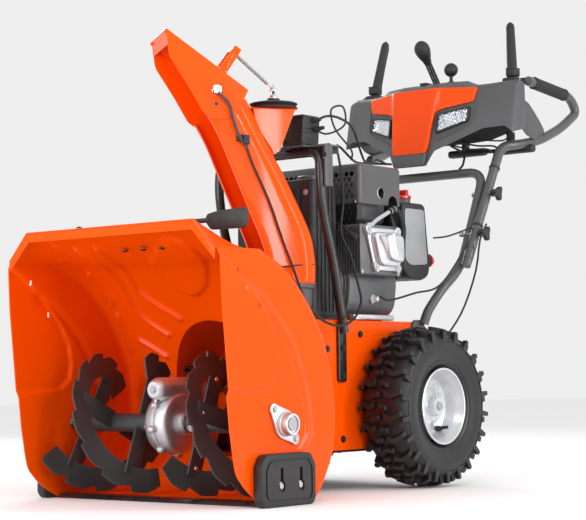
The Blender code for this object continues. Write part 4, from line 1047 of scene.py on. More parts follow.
for side, name, lead in ((1, "left", 40), (-1, "right", 100)):
    keep(f"{name}Auger", makeAuger(side, lead), "augerPaint", "auger", [f"auger_{name}"])
    spots = []
    for x, turned in ((0.064, 30), (0.275, 120)):
        way = (0, math.cos(math.radians(turned)), math.sin(math.radians(turned)))
        for s in (1, -1):
            spots.append(((side * x, augerData["y"] + s * way[1] * 0.0205, augerData["z"] + s * way[2] * 0.0205),
                          tuple(c * s for c in way), 0.8))
    for n in range(2):
        for t in (0.12, 0.5, 0.88):
            turned = math.radians(lead + 180 * n + side * augerData["turn"] * t)
            x = side * (augerData["from"] + (augerData["to"] - augerData["from"]) * t + 0.0022)
            r = 0.100
            spots.append(((x, augerData["y"] + r * math.cos(turned), augerData["z"] + r * math.sin(turned)),
                          (side, 0, 0), 0.55))
    keep(f"{name}ShearBolts", boltMesh(spots, "chrome"), "chrome", "auger")
dress("auger_shaft", "steel")
print("augers ready")

gearCase = {"y": -0.647, "z": 0.167, "wormZ": 0.24}


def makeGearCase():
    g = gearCase
    case = lathe([(0, -0.031), (0.058, -0.031), (0.064, -0.027), (0.067, -0.020), (0.067, -0.004),
                  (0.0695, -0.0035), (0.0695, 0.0035), (0.067, 0.004), (0.067, 0.020), (0.064, 0.027),
                  (0.058, 0.031), (0, 0.031)], "x", (0, g["y"], g["z"]), 56)
    bosses = lathe([(0, -0.046), (0.022, -0.046), (0.026, -0.043), (0.026, 0.043), (0.022, 0.046), (0, 0.046)],
                   "x", (0, g["y"], g["z"]), 40)
    worm = lathe([(0, -0.712), (0.017, -0.712), (0.022, -0.707), (0.026, -0.698), (0.026, -0.566),
                  (0.023, -0.560), (0, -0.560)], "y", (0, 0, g["wormZ"]), 40)
    shapes = [case, bosses, worm]
    for k in range(8):
        a = math.radians(45 * k + 10)
        ear = lathe([(0, -0.0065), (0.0085, -0.0065), (0.0085, 0.0065), (0, 0.0065)], "x",
                    (0, g["y"] + 0.068 * math.cos(a), g["z"] + 0.068 * math.sin(a)), 18)
        if not 40 < 45 * k + 10 < 140:
            shapes.append(ear)
    web = box((-0.004, g["y"] - 0.060, g["z"] + 0.035), (0.004, g["y"] + 0.060, g["wormZ"] + 0.004), 0.002)
    shapes.append(web)
    hole = lathe([(0, -0.1), (0.0129, -0.1), (0.0129, 0.1), (0, 0.1)], "x", (0, g["y"], g["z"]), 32)
    tunnel = lathe([(0, -0.60), (0.0105, -0.60), (0.0105, -0.5), (0, -0.5)], "y", (0, 0, g["wormZ"]), 24)
    whole = shapes[0]
    return carve(carve(whole, *shapes[1:], operation="UNION"), hole, tunnel)


keep("gearCase", makeGearCase(), "castAluminium", "chassis", ["gearbox"])
gearSpots = []
for k in range(8):
    a = math.radians(45 * k + 10)
    if not 40 < 45 * k + 10 < 140:
        for s in (1, -1):
            gearSpots.append(((s * 0.0065, gearCase["y"] + 0.068 * math.cos(a), gearCase["z"] + 0.068 * math.sin(a)),
                              (s, 0, 0), 0.6))
gearSpots += [((0, -0.712, gearCase["wormZ"]), (0, -1, 0), 0.9)]
keep("gearCaseBolts", boltMesh(gearSpots, "steel"), "steel", "chassis")


def makeImpeller():
    hub = lathe([(0.0099, -0.462), (0.019, -0.462), (0.021, -0.460), (0.021, -0.352), (0.019, -0.350),
                 (0.0099, -0.350)], "y", (0, 0, 0.24), 40)
    shapes = [hub]
    for n in range(4):
        blade = box((0.016, -0.458, -0.002), (0.1485, -0.362, 0.002), 0.0009, 2)
        rib = box((0.0165, -0.3652, -0.0017), (0.112, -0.3617, 0.032), 0.0009, 2)
        hook = box((0.1452, -0.4575, -0.0018), (0.1484, -0.3624, 0.012), 0.0009, 2)
        for shape in (blade, rib, hook):
            turn(shape, 90 * n + 20, "Y")
            shapes.append(shift(shape, (0, 0, 0.24)))
    return join(*shapes)


keep("impellerWheel", makeImpeller(), "blackPaint", "impeller", ["impeller"])
dress("impeller_shaft", "steel")
dress("auger_pulley", "steel")
dress("engine_pulley", "steel")
dress("auger_belt", "rubber")
print("gear case and impeller ready")

# chute and deflector, drawn ahead of the chute's axis and across it
chuteData = {"x": 0.087, "y": -0.400, "yaw": 35, "half": 0.075, "bend": 0.046, "sheet": 0.0025, "pulleyZ": 0.872}
yaw = math.radians(chuteData["yaw"])
forward = Vector((-math.sin(yaw), -math.cos(yaw), 0))
across = Vector((math.cos(yaw), -math.sin(yaw), 0))
chuteAxis = Vector((chuteData["x"], chuteData["y"], 0))
chuteTurn = Matrix((forward, -across, Vector((0, 0, 1)))).transposed()


def chutePoint(ahead, side, z):
    return chuteAxis + forward * ahead + across * side + Vector((0, 0, z))


def onChute(bm):
    bmesh.ops.rotate(bm, verts=bm.verts, cent=(0, 0, 0), matrix=chuteTurn)
    return shift(bm, chuteAxis)


chuteSections = [
    ((-0.083, 0.4760), (0.020, 0.4760)), ((-0.084, 0.520), (0.030, 0.505)), ((-0.076, 0.575), (0.051, 0.572)),
    ((-0.058, 0.622), (0.072, 0.622)), ((-0.037, 0.666), (0.092, 0.671)), ((-0.010, 0.722), (0.116, 0.728)),
    ((0.021, 0.779), (0.140, 0.786)), ((0.050, 0.838), (0.158, 0.822)), ((0.074, 0.889), (0.170, 0.842)),
]


def makeChute():
    c = chuteData
    backs = smoothPath([(b[0], 0, b[1]) for b, f in chuteSections], 6)
    fronts = smoothPath([(f[0], 0, f[1]) for b, f in chuteSections], 6)
    outer, inner = [], []
    for back, front in zip(backs, fronts):
        along = front - back
        depth = along.length
        along.normalize()
        half, bend = c["half"], c["bend"]
        line = []
        # folded front lip, flat cheek, round back corner, flat back
        line += [(depth, -half + 0.0125), (depth + 0.0004, -half + 0.006), (depth - 0.0006, -half + 0.0018),
                 (depth - 0.004, -half)]
        line += [(depth - (depth - bend - 0.006) * k / 5, -half) for k in range(1, 6)]
        for k in range(13):
            t = math.radians(90 * k / 12)
            line.append((bend - bend * math.sin(t), -half + bend - bend * math.cos(t)))
        line += [(0.0, -(half - bend) * (1 - k / 3)) for k in range(1, 3)]
        line += [(0.0, 0.0)]
        line += [(d, -w) for d, w in reversed(line[:-1])]
        rowOut, rowIn = [], []
        n = len(line)
        for k, (d, w) in enumerate(line):
            d0, w0 = line[max(k - 1, 0)]
            d1, w1 = line[min(k + 1, n - 1)]
            tx, ty = d1 - d0, w1 - w0
            size = math.hypot(tx, ty) or 1
            nx, ny = -ty / size, tx / size
            if (bend - d) * nx + (0 - w) * ny < 0 and k > 3 and k < n - 4:
                nx, ny = -nx, -ny
            if k <= 3:
                nx, ny = (-1, 0) if k == 0 else (-0.8, 0.6) if k < 3 else (-0.2, 1)
            if k >= n - 4:
                nx, ny = (-1, 0) if k == n - 1 else (-0.8, -0.6) if k > n - 4 else (-0.2, -1)
            spot = back + along * d
            rowOut.append(chutePoint(spot[0], w, spot[2]))
            spot = back + along * (d + nx * c["sheet"])
            rowIn.append(chutePoint(spot[0], w + ny * c["sheet"], spot[2]))
        outer.append(rowOut)
        inner.append(rowIn)
    body = shell(outer, inner)
    base = lathe([(0.066, 0.4724), (0.0895, 0.4724), (0.0905, 0.4735), (0.0905, 0.4765), (0.0775, 0.4765),
                  (0.0762, 0.4785), (0.0760, 0.512), (0.0735, 0.512), (0.0735, 0.4765), (0.066, 0.4765)], "z",
                 chuteAxis, 64)
    z = c["pulleyZ"]
    gusset = onChute(prism([(-0.046, z - 0.0004), (0.058, z - 0.0004), (0.052, 0.835), (0.010, 0.765),
                            (-0.006, 0.772)], "y", -0.0016, 0.0016))
    wings = []
    for s in (1, -1):
        # the bracket's two bent cheeks under the pulley
        wing = prism([(-0.044, z - 0.0008), (0.056, z - 0.0008), (0.050, 0.836), (0.006, 0.768), (-0.006, 0.775)],
                     "y", s * 0.027, s * 0.029)
        wings.append(onChute(wing))
    shelf = onChute(box((-0.046, -0.030, z - 0.0038), (0.060, 0.030, z - 0.0006), 0.001, 2))
    return join(body, base, gusset, shelf, *wings)


keep("chuteBody", makeChute(), "orangePaint", "chute", ["chute"], 30)


def makePulley():
    z = chuteData["pulleyZ"]
    disc = [(0, z), (0.052, z), (0.055, z + 0.0015), (0.055, z + 0.003), (0.050, z + 0.007), (0.055, z + 0.011),
            (0.055, z + 0.0125), (0.052, z + 0.014), (0.040, z + 0.0145), (0.036, z + 0.0165), (0.018, z + 0.0165),
            (0.016, z + 0.018), (0.014, z + 0.025), (0, z + 0.025)]
    return lathe(disc, "z", chuteAxis, 64)


keep("rotationDisc", makePulley(), "blackPlastic", "chute", ["rotation_pulley"])


def makeStud():
    # threaded stud with nuts on top of the disc
    z = chuteData["pulleyZ"] + 0.0245
    line = [(0, z)]
    for k in range(14):
        line += [(0.0040, z + 0.0023 * k), (0.0033, z + 0.0023 * k + 0.00115)]
    line += [(0.003, z + 0.0325), (0, z + 0.0328)]
    shapes = [lathe(line, "z", chuteAxis, 20)]
    for low, radius, sides in ((0.0, 0.0105, 24), (0.0025, 0.0080, 6), (0.0175, 0.0095, 24), (0.0200, 0.0072, 6)):
        shapes.append(lathe([(0, z + low), (radius, z + low), (radius, z + low + (0.0024 if sides > 6 else 0.006)),
                             (0, z + low + (0.0024 if sides > 6 else 0.006))], "z", chuteAxis, sides))
    return join(*shapes)


keep("discStud", makeStud(), "chrome", "chute")

deflectorData = {
    "side": [(0.266, 1.034), (0.079, 0.902), (0.094, 0.872), (0.112, 0.848), (0.133, 0.836), (0.152, 0.833),
             (0.176, 0.845), (0.215, 0.905), (0.259, 0.974), (0.262, 0.998)],
    "extra": 0.0035, "sheet": 0.0025, "pivot": (0.152, 0.900),
}


def makeDeflector():
    d = deflectorData
    wide = chuteData["half"] + d["extra"]
    side = [(0.266, 1.034), (0.079, 0.902), (0.094, 0.872)] + arc((0.145, 0.8855), 0.052, 215, 318, 14)
    side += [(0.215, 0.905), (0.2585, 0.972), (0.2615, 0.998)]
    radii = [0.004, 0.004, 0.006] + [0.001] * 15 + [0.02, 0.012, 0.006]
    cheek = roundOutline(side, radii, 3)
    shapes = []
    for s in (1, -1):
        low, high = sorted((s * (wide - d["sheet"]), s * wide))
        shapes.append(onChute(prism(cheek, "y", low, high, 0.0006, 1)))
    (tx, tz), (rx, rz) = side[0], side[1]
    along = Vector((rx - tx, 0, rz - tz))
    n = Vector((-along[2], 0, along[0])).normalized() * -1
    if n[2] > 0:
        n = -n
    start = Vector((tx, 0, tz)) + along * 0.004
    end = Vector((rx, 0, rz)) - along * 0.004
    radius = 0.007
    section = []
    for s in (-1, 1):
        pts = []
        for k in range(7):
            t = math.radians(90 * k / 6)
            pts.append((s * (wide - 0.0008 - radius + radius * math.cos(t)), radius - radius * math.sin(t)))
        section += pts if s < 0 else pts[::-1]
    outer, inner = [], []
    for k in range(13):
        base = start + (end - start) * (k / 12)
        outer.append([base + n * depth + Vector((0, w, 0)) for w, depth in section])
        inner.append([base + n * (depth + d["sheet"]) + Vector((0, w * 0.97, 0)) for w, depth in section])
    shapes.append(onChute(shell(outer, inner)))
    # turned-in strip at the hood's tip
    tip = prism([(0.2655, 1.0325), (0.2605, 0.9985), (0.2582, 0.9990), (0.2630, 1.0318)], "y", -wide + 0.002,
                wide - 0.002)
    shapes.append(onChute(tip))
    # folded pull handle at the near side
    loop = [(0.150, 0.943), (0.1085, 1.0022), (0.0935, 0.992), (0.134, 0.930)]
    handle = prism(roundOutline(loop, 0.002, 2), "y", -wide + 0.0005, -wide + 0.060, 0.0016, 2)
    room = prism([(0.160, 0.964), (0.129, 1.005), (0.081, 0.971), (0.111, 0.929)], "y", -wide + 0.004, -wide + 0.056)
    shapes.append(onChute(bmeshOf(carve(handle, room))))
    return join(*shapes)


def bmeshOf(mesh):
    bm = bmesh.new()
    bm.from_mesh(mesh)
    return bm


keep("deflectorHood", makeDeflector(), "orangePaint", "deflector", ["deflector"], 30)

pivotAhead, pivotZ = deflectorData["pivot"]
outside = chuteData["half"] + deflectorData["extra"]
pivotSpots = [(tuple(chutePoint(pivotAhead, s * outside, pivotZ)), tuple(across * s), 1.15) for s in (1, -1)]
keep("deflectorPivots", boltMesh(pivotSpots, "chrome"), "chrome", "deflector")
darkSpots = [(tuple(chutePoint(0.153, outside, 0.869)), tuple(across), 0.45)]
darkSpots += [(tuple(chutePoint(a, -outside, z)), tuple(-across), 0.4) for a, z in ((0.236, 0.992), (0.222, 0.958))]
keep("deflectorRivets", boltMesh(darkSpots, "blackPaint", HeadHeight=0.002), "blackPaint", "deflector")

clampSpots = [(tuple(chutePoint(0.094, chuteData["half"] + 0.0005, 0.794)), tuple(across), 1.0),
              (tuple(chutePoint(-0.060, chuteData["half"] * 0.72, 0.4775)), (0, 0, 1), 0.8),
              (tuple(chutePoint(0.055, chuteData["half"] * 0.66, 0.4775)), (0, 0, 1), 0.8)]
keep("clampBolts", boltMesh(clampSpots, "blackPaint"), "blackPaint", "chute")

# ribbed sleeve from the clamp up to the hood's eyelet
sleeve = {"radius": 0.0042, "core": 0.0030,
          "route": [(0.086, 0.0835, 0.774), (0.104, 0.0845, 0.800), (0.118, 0.0860, 0.838), (0.126, 0.0860, 0.868),
                    (0.150, 0.0862, 0.893)]}
sleevePath = smoothPath([chutePoint(a, w, z) for a, w, z in sleeve["route"]], 10)
keep("sleeveCore", sweep(sleevePath, sleeve["core"], 12), "blackPlastic", "chute")
keep("sleeveRings", ringMesh(sleevePath, "greyPaint", Count=46, RingRadius=sleeve["radius"] - 0.0008,
                             WireRadius=0.0010), "greyPaint", "chute")
clampBody = [onChute(box((0.080, -0.0925, 0.779), (0.094, -0.0752, 0.800), 0.003)),
             onChute(box((0.088, -0.0815, 0.786), (0.108, -0.0755, 0.800), 0.002))]
keep("cableClamp", join(*clampBody), "blackPlastic", "chute")
eyelet = lathe([(0.0048, -0.002), (0.0095, -0.002), (0.0105, 0.0), (0.0095, 0.002), (0.0048, 0.002)],
               "y", (0, 0, 0), 28)
eyeletMesh = onChute(shift(eyelet, (pivotAhead, -outside - 0.0075, pivotZ)))
keep("cableEyelet", eyeletMesh, "chrome", "deflector")

# return spring between the hood's handle and the disc's stud
spring = {"from": (0.112, 0.052, 0.994), "to": (0.020, 0.020, 0.928), "end": (0.004, 0.002, 0.921)}
springPath = [chutePoint(*spring["from"]) * (1 - k / 12) + chutePoint(*spring["to"]) * (k / 12) for k in range(13)]
keep("springCore", sweep(springPath, 0.0020, 10), "greyPaint", "chute")
keep("springCoils", ringMesh(springPath, "steel", Count=52, RingRadius=0.0034, WireRadius=0.00085), "steel", "chute")
wirePath = [chutePoint(*spring["to"]), chutePoint(*spring["end"])]
keep("springWire", sweep(wirePath, 0.0008, 8), "steel", "chute")

# black cable tie round the chute's foot
tiePath = smoothPath([chutePoint(-0.074, 0.060, 0.516), chutePoint(-0.030, 0.0775, 0.512),
                      chutePoint(0.020, 0.0775, 0.507), chutePoint(0.028, 0.0765, 0.512)], 6)
keep("chuteTie", sweep(tiePath, 0.0016, 8), "blackPlastic", "chute")
print("chute ready")

# hoop and cable head
hoop = {"leg": [(-0.230, 0.365), (-0.249, 0.440), (-0.269, 0.530), (-0.304, 0.630), (-0.317, 0.715)],
        "radius": 0.011, "bend": 0.045}


def makeHoop():
    right = [(0.1530, y, z) for y, z in hoop["leg"]]
    left = [(-0.1530, y, z) for y, z in hoop["leg"]]
    corners = right + [(0.150, -0.312, 0.779), (-0.150, -0.312, 0.779)] + left[::-1]
    shapes = [sweep(roundPath(corners, hoop["bend"], 8), hoop["radius"], 20)]
    for s in (1, -1):
        low, high = sorted((s * 0.1420, s * 0.1490))
        shapes.append(prism(roundOutline([(-0.247, 0.250), (-0.217, 0.250), (-0.217, 0.392), (-0.247, 0.392)], 0.010),
                            "x", low, high, 0.0012))
    return join(*shapes)


keep("cableHoop", makeHoop(), "blackPaint", "chassis", ["chute_hoop"])


def makeBracket():
    outline = [(0.052, -0.338), (0.124, -0.338), (0.124, -0.318), (0.172, -0.318), (0.172, -0.268),
               (0.030, -0.268), (0.030, -0.318), (0.052, -0.318)]
    plate = prism(roundOutline(outline, 0.004, 3), "z", 0.7905, 0.7950, 0.0008, 1)
    post = box((0.1645, -0.316, 0.698), (0.1715, -0.290, 0.793), 0.0012, 2)
    lip = box((0.030, -0.2705, 0.776), (0.172, -0.268, 0.7952), 0.0008, 2)
    return join(plate, post, lip)


keep("headBracket", makeBracket(), "greyPaint", "chassis", ["cable_bracket"])


def makeHead():
    body = prism([(0.058, 0.7955), (0.114, 0.7955), (0.117, 0.7985), (0.122, 0.862), (0.118, 0.866),
                  (0.062, 0.866), (0.058, 0.862)], "y", -0.335, -0.272, 0.003, 3)
    grooves = [box((0.118, -0.35, z), (0.13, -0.26, z + 0.0022)) for z in (0.806, 0.815, 0.824, 0.833)]
    lid = box((0.0565, -0.3365, 0.8585), (0.1235, -0.2705, 0.8635), 0.0015, 2)
    boots = [sweep([Vector((0.116, -0.300 + k, 0.852 - 0.018 * n)), Vector((0.142, -0.296 + k, 0.856 - 0.018 * n))],
                   [0.0062, 0.0042], 14) for n, k in ((0, 0.0), (1, 0.012))]
    return join(carve(body, *grooves), lid, *boots)


keep("cableHead", makeHead(), "blackPlastic", "chassis", ["cable_head"])
headSpots = [((0.066, -0.3355, 0.806), (0, -1, 0), 0.5), ((0.112, -0.3355, 0.806), (0, -1, 0), 0.5),
             ((0.168, -0.3165, 0.770), (0, -1, 0), 0.6), ((0.160, -0.292, 0.795), (0, 0, 1), 0.7),
             ((0.140, -0.292, 0.795), (0, 0, 1), 0.7)]
for s in (1, -1):
    headSpots += [((s * 0.149, -0.232, z), (s, 0, 0), 0.9) for z in (0.264, 0.329)]
keep("hoopBolts", boltMesh(headSpots, "blackPaint"), "blackPaint", "chassis")
print("hoop ready")

# frame
frameBox = {"half": 0.1415, "front": -0.3305, "rear": 0.075, "low": 0.092, "top": 0.395, "sheet": 0.003}


def makeFrame():
    f = frameBox
    body = box((-f["half"], f["front"], f["low"]), (f["half"], f["rear"], f["top"]), 0.006, 4)
    s = f["sheet"]
    inside = box((-f["half"] + s, f["front"] + s, f["low"] - 0.02),
                 (f["half"] - s, f["rear"] - s, f["top"] - s), 0.004, 3)
    slot = box((-0.104, -0.3000, f["top"] - 0.02), (0.104, -0.240, f["top"] + 0.02))
    axleHole = lathe([(0, -0.2), (0.0115, -0.2), (0.0115, 0.2), (0, 0.2)], "x", (0, 0, 0.1905), 32)
    shaftHole = lathe([(0, -0.36), (0.013, -0.36), (0.013, -0.31), (0, -0.31)], "y", (0, 0, 0.24), 32)
    whole = carve(body, inside, slot, axleHole, shaftHole)
    shapes = [whole]
    for s2 in (1, -1):
        # folded ledge that carries the engine, and a pressed panel in each side
        low, high = sorted((s2 * (f["half"] - 0.001), s2 * (f["half"] + 0.0012)))
        shapes.append(prism(roundOutline([(-0.205, 0.385), (0.068, 0.385), (0.070, 0.372), (-0.150, 0.355),
                                          (-0.205, 0.340)], 0.006), "x", low, high, 0.0008, 1))
        shapes.append(lathe([(0.0115, low), (0.032, low), (0.030, high), (0.0115, high)], "x", (0, 0, 0.1905), 40))
    return join(*shapes)


keep("frameBox", makeFrame(), "orangePaint", "chassis", ["frame_shell"])
frameSpots = []
for s in (1, -1):
    for y, z in ((-0.281, 0.327), (-0.156, 0.362), (-0.226, 0.119), (-0.300, 0.180), (-0.100, 0.119)):
        frameSpots.append(((s * (frameBox["half"] + (0.0012 if z > 0.35 else 0)), y, z), (s, 0, 0), 0.85))
for x in (-0.11, 0.0, 0.11):
    for z in (0.125, 0.350):
        frameSpots.append(((x, frameBox["rear"], z), (0, 1, 0), 0.75))
        if z > 0.3:
            continue
        frameSpots.append(((x, -0.20, frameBox["low"] - 0.0034), (0, 0, -1), 0.6))
        frameSpots.append(((x, 0.02, frameBox["low"] - 0.0034), (0, 0, -1), 0.6))
keep("frameBolts", boltMesh(frameSpots, "blackPaint"), "blackPaint", "chassis")
dress("frame_bottom_cover", "blackPaint")
for node in ("axle", "hex_shaft", "drive_disc"):
    dress(node, "steel")

cover = {"x": 0.115, "front": -0.2985, "rear": -0.2005, "low": 0.3955, "top": 0.722}


def makeBeltCover():
    c = cover
    outer = box((-c["x"], c["front"], c["low"]), (c["x"], c["rear"], c["top"]), 0.010, 5)
    inner = box((-c["x"] + 0.002, c["front"] + 0.002, c["low"] - 0.03), (c["x"] - 0.002, c["rear"] - 0.002,
                c["top"] - 0.002), 0.008, 4)
    crank = lathe([(0, -0.22), (0.020, -0.22), (0.020, -0.18), (0, -0.18)], "y", (0, 0, 0.56), 32)
    shapes = [carve(outer, inner, crank)]
    shapes.append(slabMesh((-0.0785, c["front"] - 0.0012, 0.565), "blackPlastic", (0.0196, 0, 0),
                           (0.0045, 0.0032, 0.27), 9))
    for s in (1, -1):
        shapes.append(slabMesh((s * (c["x"] + 0.0010), c["front"] + 0.020, 0.560), "blackPlastic", (0, 0.0145, 0),
                               (0.0028, 0.0035, 0.29), 5))
        shapes.append(box((s * 0.098 - 0.014, c["front"] + 0.012, c["low"]), (s * 0.098 + 0.014, c["front"] + 0.085,
                                                                             c["low"] + 0.012), 0.003))
    rim = carve(box((-c["x"] - 0.002, c["front"] - 0.002, c["low"] + 0.0002), (c["x"] + 0.002, c["rear"] + 0.002,
                c["low"] + 0.007), 0.002, 2), box((-c["x"] + 0.002, c["front"] + 0.002, 0.38), (c["x"] - 0.002,
                c["rear"] - 0.002, 0.42)))
    shapes.append(rim)
    return join(*shapes)


keep("beltCover", makeBeltCover(), "blackPlastic", "chassis", ["belt_cover"])
dial = lathe([(0, 0.7215), (0.024, 0.7215), (0.026, 0.724), (0.026, 0.731), (0.022, 0.7335), (0.010, 0.7335),
              (0.009, 0.7315), (0, 0.7315)], "z", (0.062, -0.245, 0), 40)
keep("coverCap", dial, "greyPlastic", "chassis")
coverSpots = [((s * 0.098, cover["front"] + 0.0, z), (0, -1, 0), 0.7) for s in (1, -1) for z in (0.425, 0.69)]
keep("coverScrews", boltMesh(coverSpots, "steel"), "steel", "chassis")
print("frame ready")

# wheels
wheel = {"x": 0.215, "z": 0.1905, "pitches": 22, "core": 0.1785, "tip": 0.1903}


def lugTree():
    # slanted tread bars on one shoulder, round the axle
    tree, start, node, link, done = newTree("lugs", Count=22, Radius=0.183, Width=0.052, Length=0.019,
                                            Height=0.014, Slant=0.22, Offset=0.03, Side=1.0, Phase=0.0, Lean=0.0)

    def calc(operation, *values):
        made = node("ShaderNodeMath", operation=operation)
        for i, value in enumerate(values):
            if isinstance(value, (int, float)):
                made.inputs[i].default_value = value
            else:
                link(value, made.inputs[i])
        return made.outputs[0]

    cube = node("GeometryNodeMeshCube")
    cube.inputs["Vertices X"].default_value = 7
    size = node("ShaderNodeCombineXYZ")
    link(start.outputs["Width"], size.inputs["X"])
    link(start.outputs["Length"], size.inputs["Y"])
    link(start.outputs["Height"], size.inputs["Z"])
    link(size.outputs[0], cube.inputs["Size"])
    spot = node("GeometryNodeInputPosition")
    split = node("ShaderNodeSeparateXYZ")
    link(spot.outputs[0], split.inputs[0])
    # the bar bends once, narrows to its top and follows the crown
    bend = calc("MULTIPLY", calc("ABSOLUTE", calc("ADD", split.outputs["X"], 0.006)), start.outputs["Slant"])
    high = calc("DIVIDE", calc("ADD", split.outputs["Z"], calc("MULTIPLY", start.outputs["Height"], 0.5)),
                start.outputs["Height"])
    taper = calc("SUBTRACT", 1.0, calc("MULTIPLY", high, 0.30))
    y = calc("ADD", calc("MULTIPLY", split.outputs["Y"], taper), bend)
    far = calc("ADD", calc("MULTIPLY", split.outputs["X"], start.outputs["Side"]), start.outputs["Offset"])
    crown = calc("MULTIPLY", calc("POWER", calc("ABSOLUTE", far), 2.0), start.outputs["Lean"])
    z = calc("SUBTRACT", split.outputs["Z"], crown)
    x = calc("MULTIPLY", far, 1.0)
    place = node("ShaderNodeCombineXYZ")
    link(x, place.inputs["X"])
    link(y, place.inputs["Y"])
    link(z, place.inputs["Z"])
    shape = node("GeometryNodeSetPosition")
    link(cube.outputs["Mesh"], shape.inputs["Geometry"])
    link(place.outputs[0], shape.inputs["Position"])
    lift = node("ShaderNodeCombineXYZ")
    link(start.outputs["Radius"], lift.inputs["Z"])
    out = node("GeometryNodeTransform")
    link(shape.outputs["Geometry"], out.inputs["Geometry"])
    link(lift.outputs[0], out.inputs["Translation"])
    line = node("GeometryNodeMeshLine", mode="OFFSET")
    line.inputs["Offset"].default_value = (0, 0, 0)
    link(start.outputs["Count"], line.inputs["Count"])
    copies = node("GeometryNodeInstanceOnPoints")
    link(line.outputs["Mesh"], copies.inputs["Points"])
    link(out.outputs["Geometry"], copies.inputs["Instance"])
    index = node("GeometryNodeInputIndex")
    step = calc("DIVIDE", 2 * math.pi, start.outputs["Count"])
    angle = calc("MULTIPLY", calc("ADD", index.outputs[0], start.outputs["Phase"]), step)
    spin = node("ShaderNodeCombineXYZ")
    link(angle, spin.inputs["X"])
    link(spin.outputs[0], copies.inputs["Rotation"])
    done(copies.outputs["Instances"])
    return tree


lugs = lugTree()


def makeTyre(side):
    w = wheel
    half = [(0.0, 0.1770), (0.030, 0.1760), (0.046, 0.1725), (0.056, 0.1665), (0.0622, 0.158), (0.0645, 0.146),
            (0.0640, 0.134), (0.0605, 0.119), (0.0580, 0.110), (0.0570, 0.1045), (0.0530, 0.0985), (0.0470, 0.0930),
            (0.0445, 0.0885)]
    inner = [(0.0395, 0.0905), (0.0400, 0.094), (0.052, 0.120), (0.055, 0.140), (0.050, 0.160), (0.030, 0.168)]
    profile = [(r, -u) for u, r in reversed(half[1:])] + [(r, u) for u, r in half]
    profile += [(r, u) for u, r in inner] + [(r, -u) for u, r in reversed(inner)]
    rib = []
    for r, u in profile:
        rib.append((r, side * (w["x"] + u)))
    carcass = lathe(rib, "x", (0, 0, w["z"]), 96)
    shapes = [carcass]
    # shoulder bars, centre bars and small side blocks on each half
    for flip, phase in ((1, 0.0), (-1, 0.5)):
        for width, length, height, radius, offset, slant, lean, shiftPhase in (
                (0.042, 0.0175, 0.0170, 0.1818, 0.0345, 0.42, 3.0, 0.0),
                (0.022, 0.0150, 0.0165, 0.1820, 0.0095, -0.30, 3.0, 0.42),
                (0.012, 0.0140, 0.0300, 0.1665, 0.0585, 0.0, 0.0, 0.06)):
            bars = runTree(lugs, "tyreRubber", Count=w["pitches"], Radius=radius, Width=width, Length=length,
                           Height=height, Slant=slant, Offset=flip * offset, Side=float(flip), Phase=phase + shiftPhase,
                           Lean=lean)
            bars.transform(Matrix.Translation((side * w["x"], 0, w["z"])))
            bm = bmeshOf(bars)
            bmesh.ops.remove_doubles(bm, verts=bm.verts, dist=1e-6)
            sharp = [e for e in bm.edges if len(e.link_faces) == 2 and e.calc_face_angle(0) > 0.6]
            bmesh.ops.bevel(bm, geom=sharp, offset=0.0011, segments=1, affect="EDGES")
            shapes.append(bm)
    # raised rings on the sidewall
    for s in (1, -1):
        for r, u in ((0.1555, 0.0632), (0.1085, 0.0575)):
            ring = lathe([(r - 0.0014, s * (u - 0.002)), (r + 0.0014, s * (u - 0.002)),
                          (r + 0.0008, s * (u + 0.0012)), (r - 0.0008, s * (u + 0.0012))], "x",
                         (side * w["x"], 0, w["z"]), 96)
            shapes.append(ring)
    return join(*shapes)


def makeRim(side):
    line = [(0.0885, -0.057), (0.0905, -0.0565), (0.0905, -0.0545), (0.0880, -0.053), (0.0850, -0.048),
            (0.0800, -0.040), (0.0800, 0.030), (0.0850, 0.046), (0.0880, 0.0535), (0.0905, 0.0545),
            (0.0905, 0.0570), (0.0885, 0.0578), (0.0860, 0.0570), (0.0835, 0.0520), (0.0800, 0.0455),
            (0.0775, 0.0420), (0.0735, 0.0340), (0.0700, 0.0240), (0.0660, 0.0160), (0.0600, 0.0120),
            (0.0520, 0.0110), (0.0440, 0.0135), (0.0380, 0.0185), (0.0330, 0.0205), (0.0240, 0.0215),
            (0.0218, 0.0235), (0.0215, 0.0420), (0.0200, 0.0440), (0.0130, 0.0440), (0.0098, 0.0425),
            (0.0098, -0.030), (0.0200, -0.030), (0.0200, 0.014), (0.0330, 0.0165), (0.0440, 0.0095),
            (0.0600, 0.0080), (0.0690, 0.0120), (0.0765, 0.0300), (0.0765, -0.0420), (0.0835, -0.0550)]
    line = [(r, side * (wheel["x"] + t)) for r, t in line]
    return lathe(line, "x", (0, 0, wheel["z"]), 96)


for side, name in ((1, "left"), (-1, "right")):
    keep(f"{name}Tyre", makeTyre(side), "tyreRubber", "wheels", [f"tyre_{name}"], 30)
    keep(f"{name}Rim", makeRim(side), "silverPaint", "wheels", [f"rim_{name}"], 26)
    a = math.radians(-62)
    stem = Vector((side * (wheel["x"] + 0.014), 0.062 * math.cos(a), wheel["z"] + 0.062 * math.sin(a)))
    lean = Vector((side * 0.024, 0.006, 0.004))
    valve = sweep([stem, stem + lean * 0.5, stem + lean * 0.5 + lean * 0.01, stem + lean * 1.15],
                  [0.0068, 0.0056, 0.0040, 0.0038], 20)
    keep(f"{name}Valve", valve, "rubber", "wheels")
    pin = sweep([Vector((side * 0.2495, 0, wheel["z"] - 0.026)), Vector((side * 0.2495, 0, wheel["z"] + 0.026))],
                0.0028, 12)
    ring = sweep([Vector((side * 0.2495, 0.014 * math.sin(t * 0.5236), wheel["z"] + 0.030 - 0.014 * math.cos(t * 0.5236)
                          + 0.010)) for t in range(13)], 0.0010, 8)
    keep(f"{name}WheelPin", join(pin, ring), "steel", "wheels")
print("wheels ready")

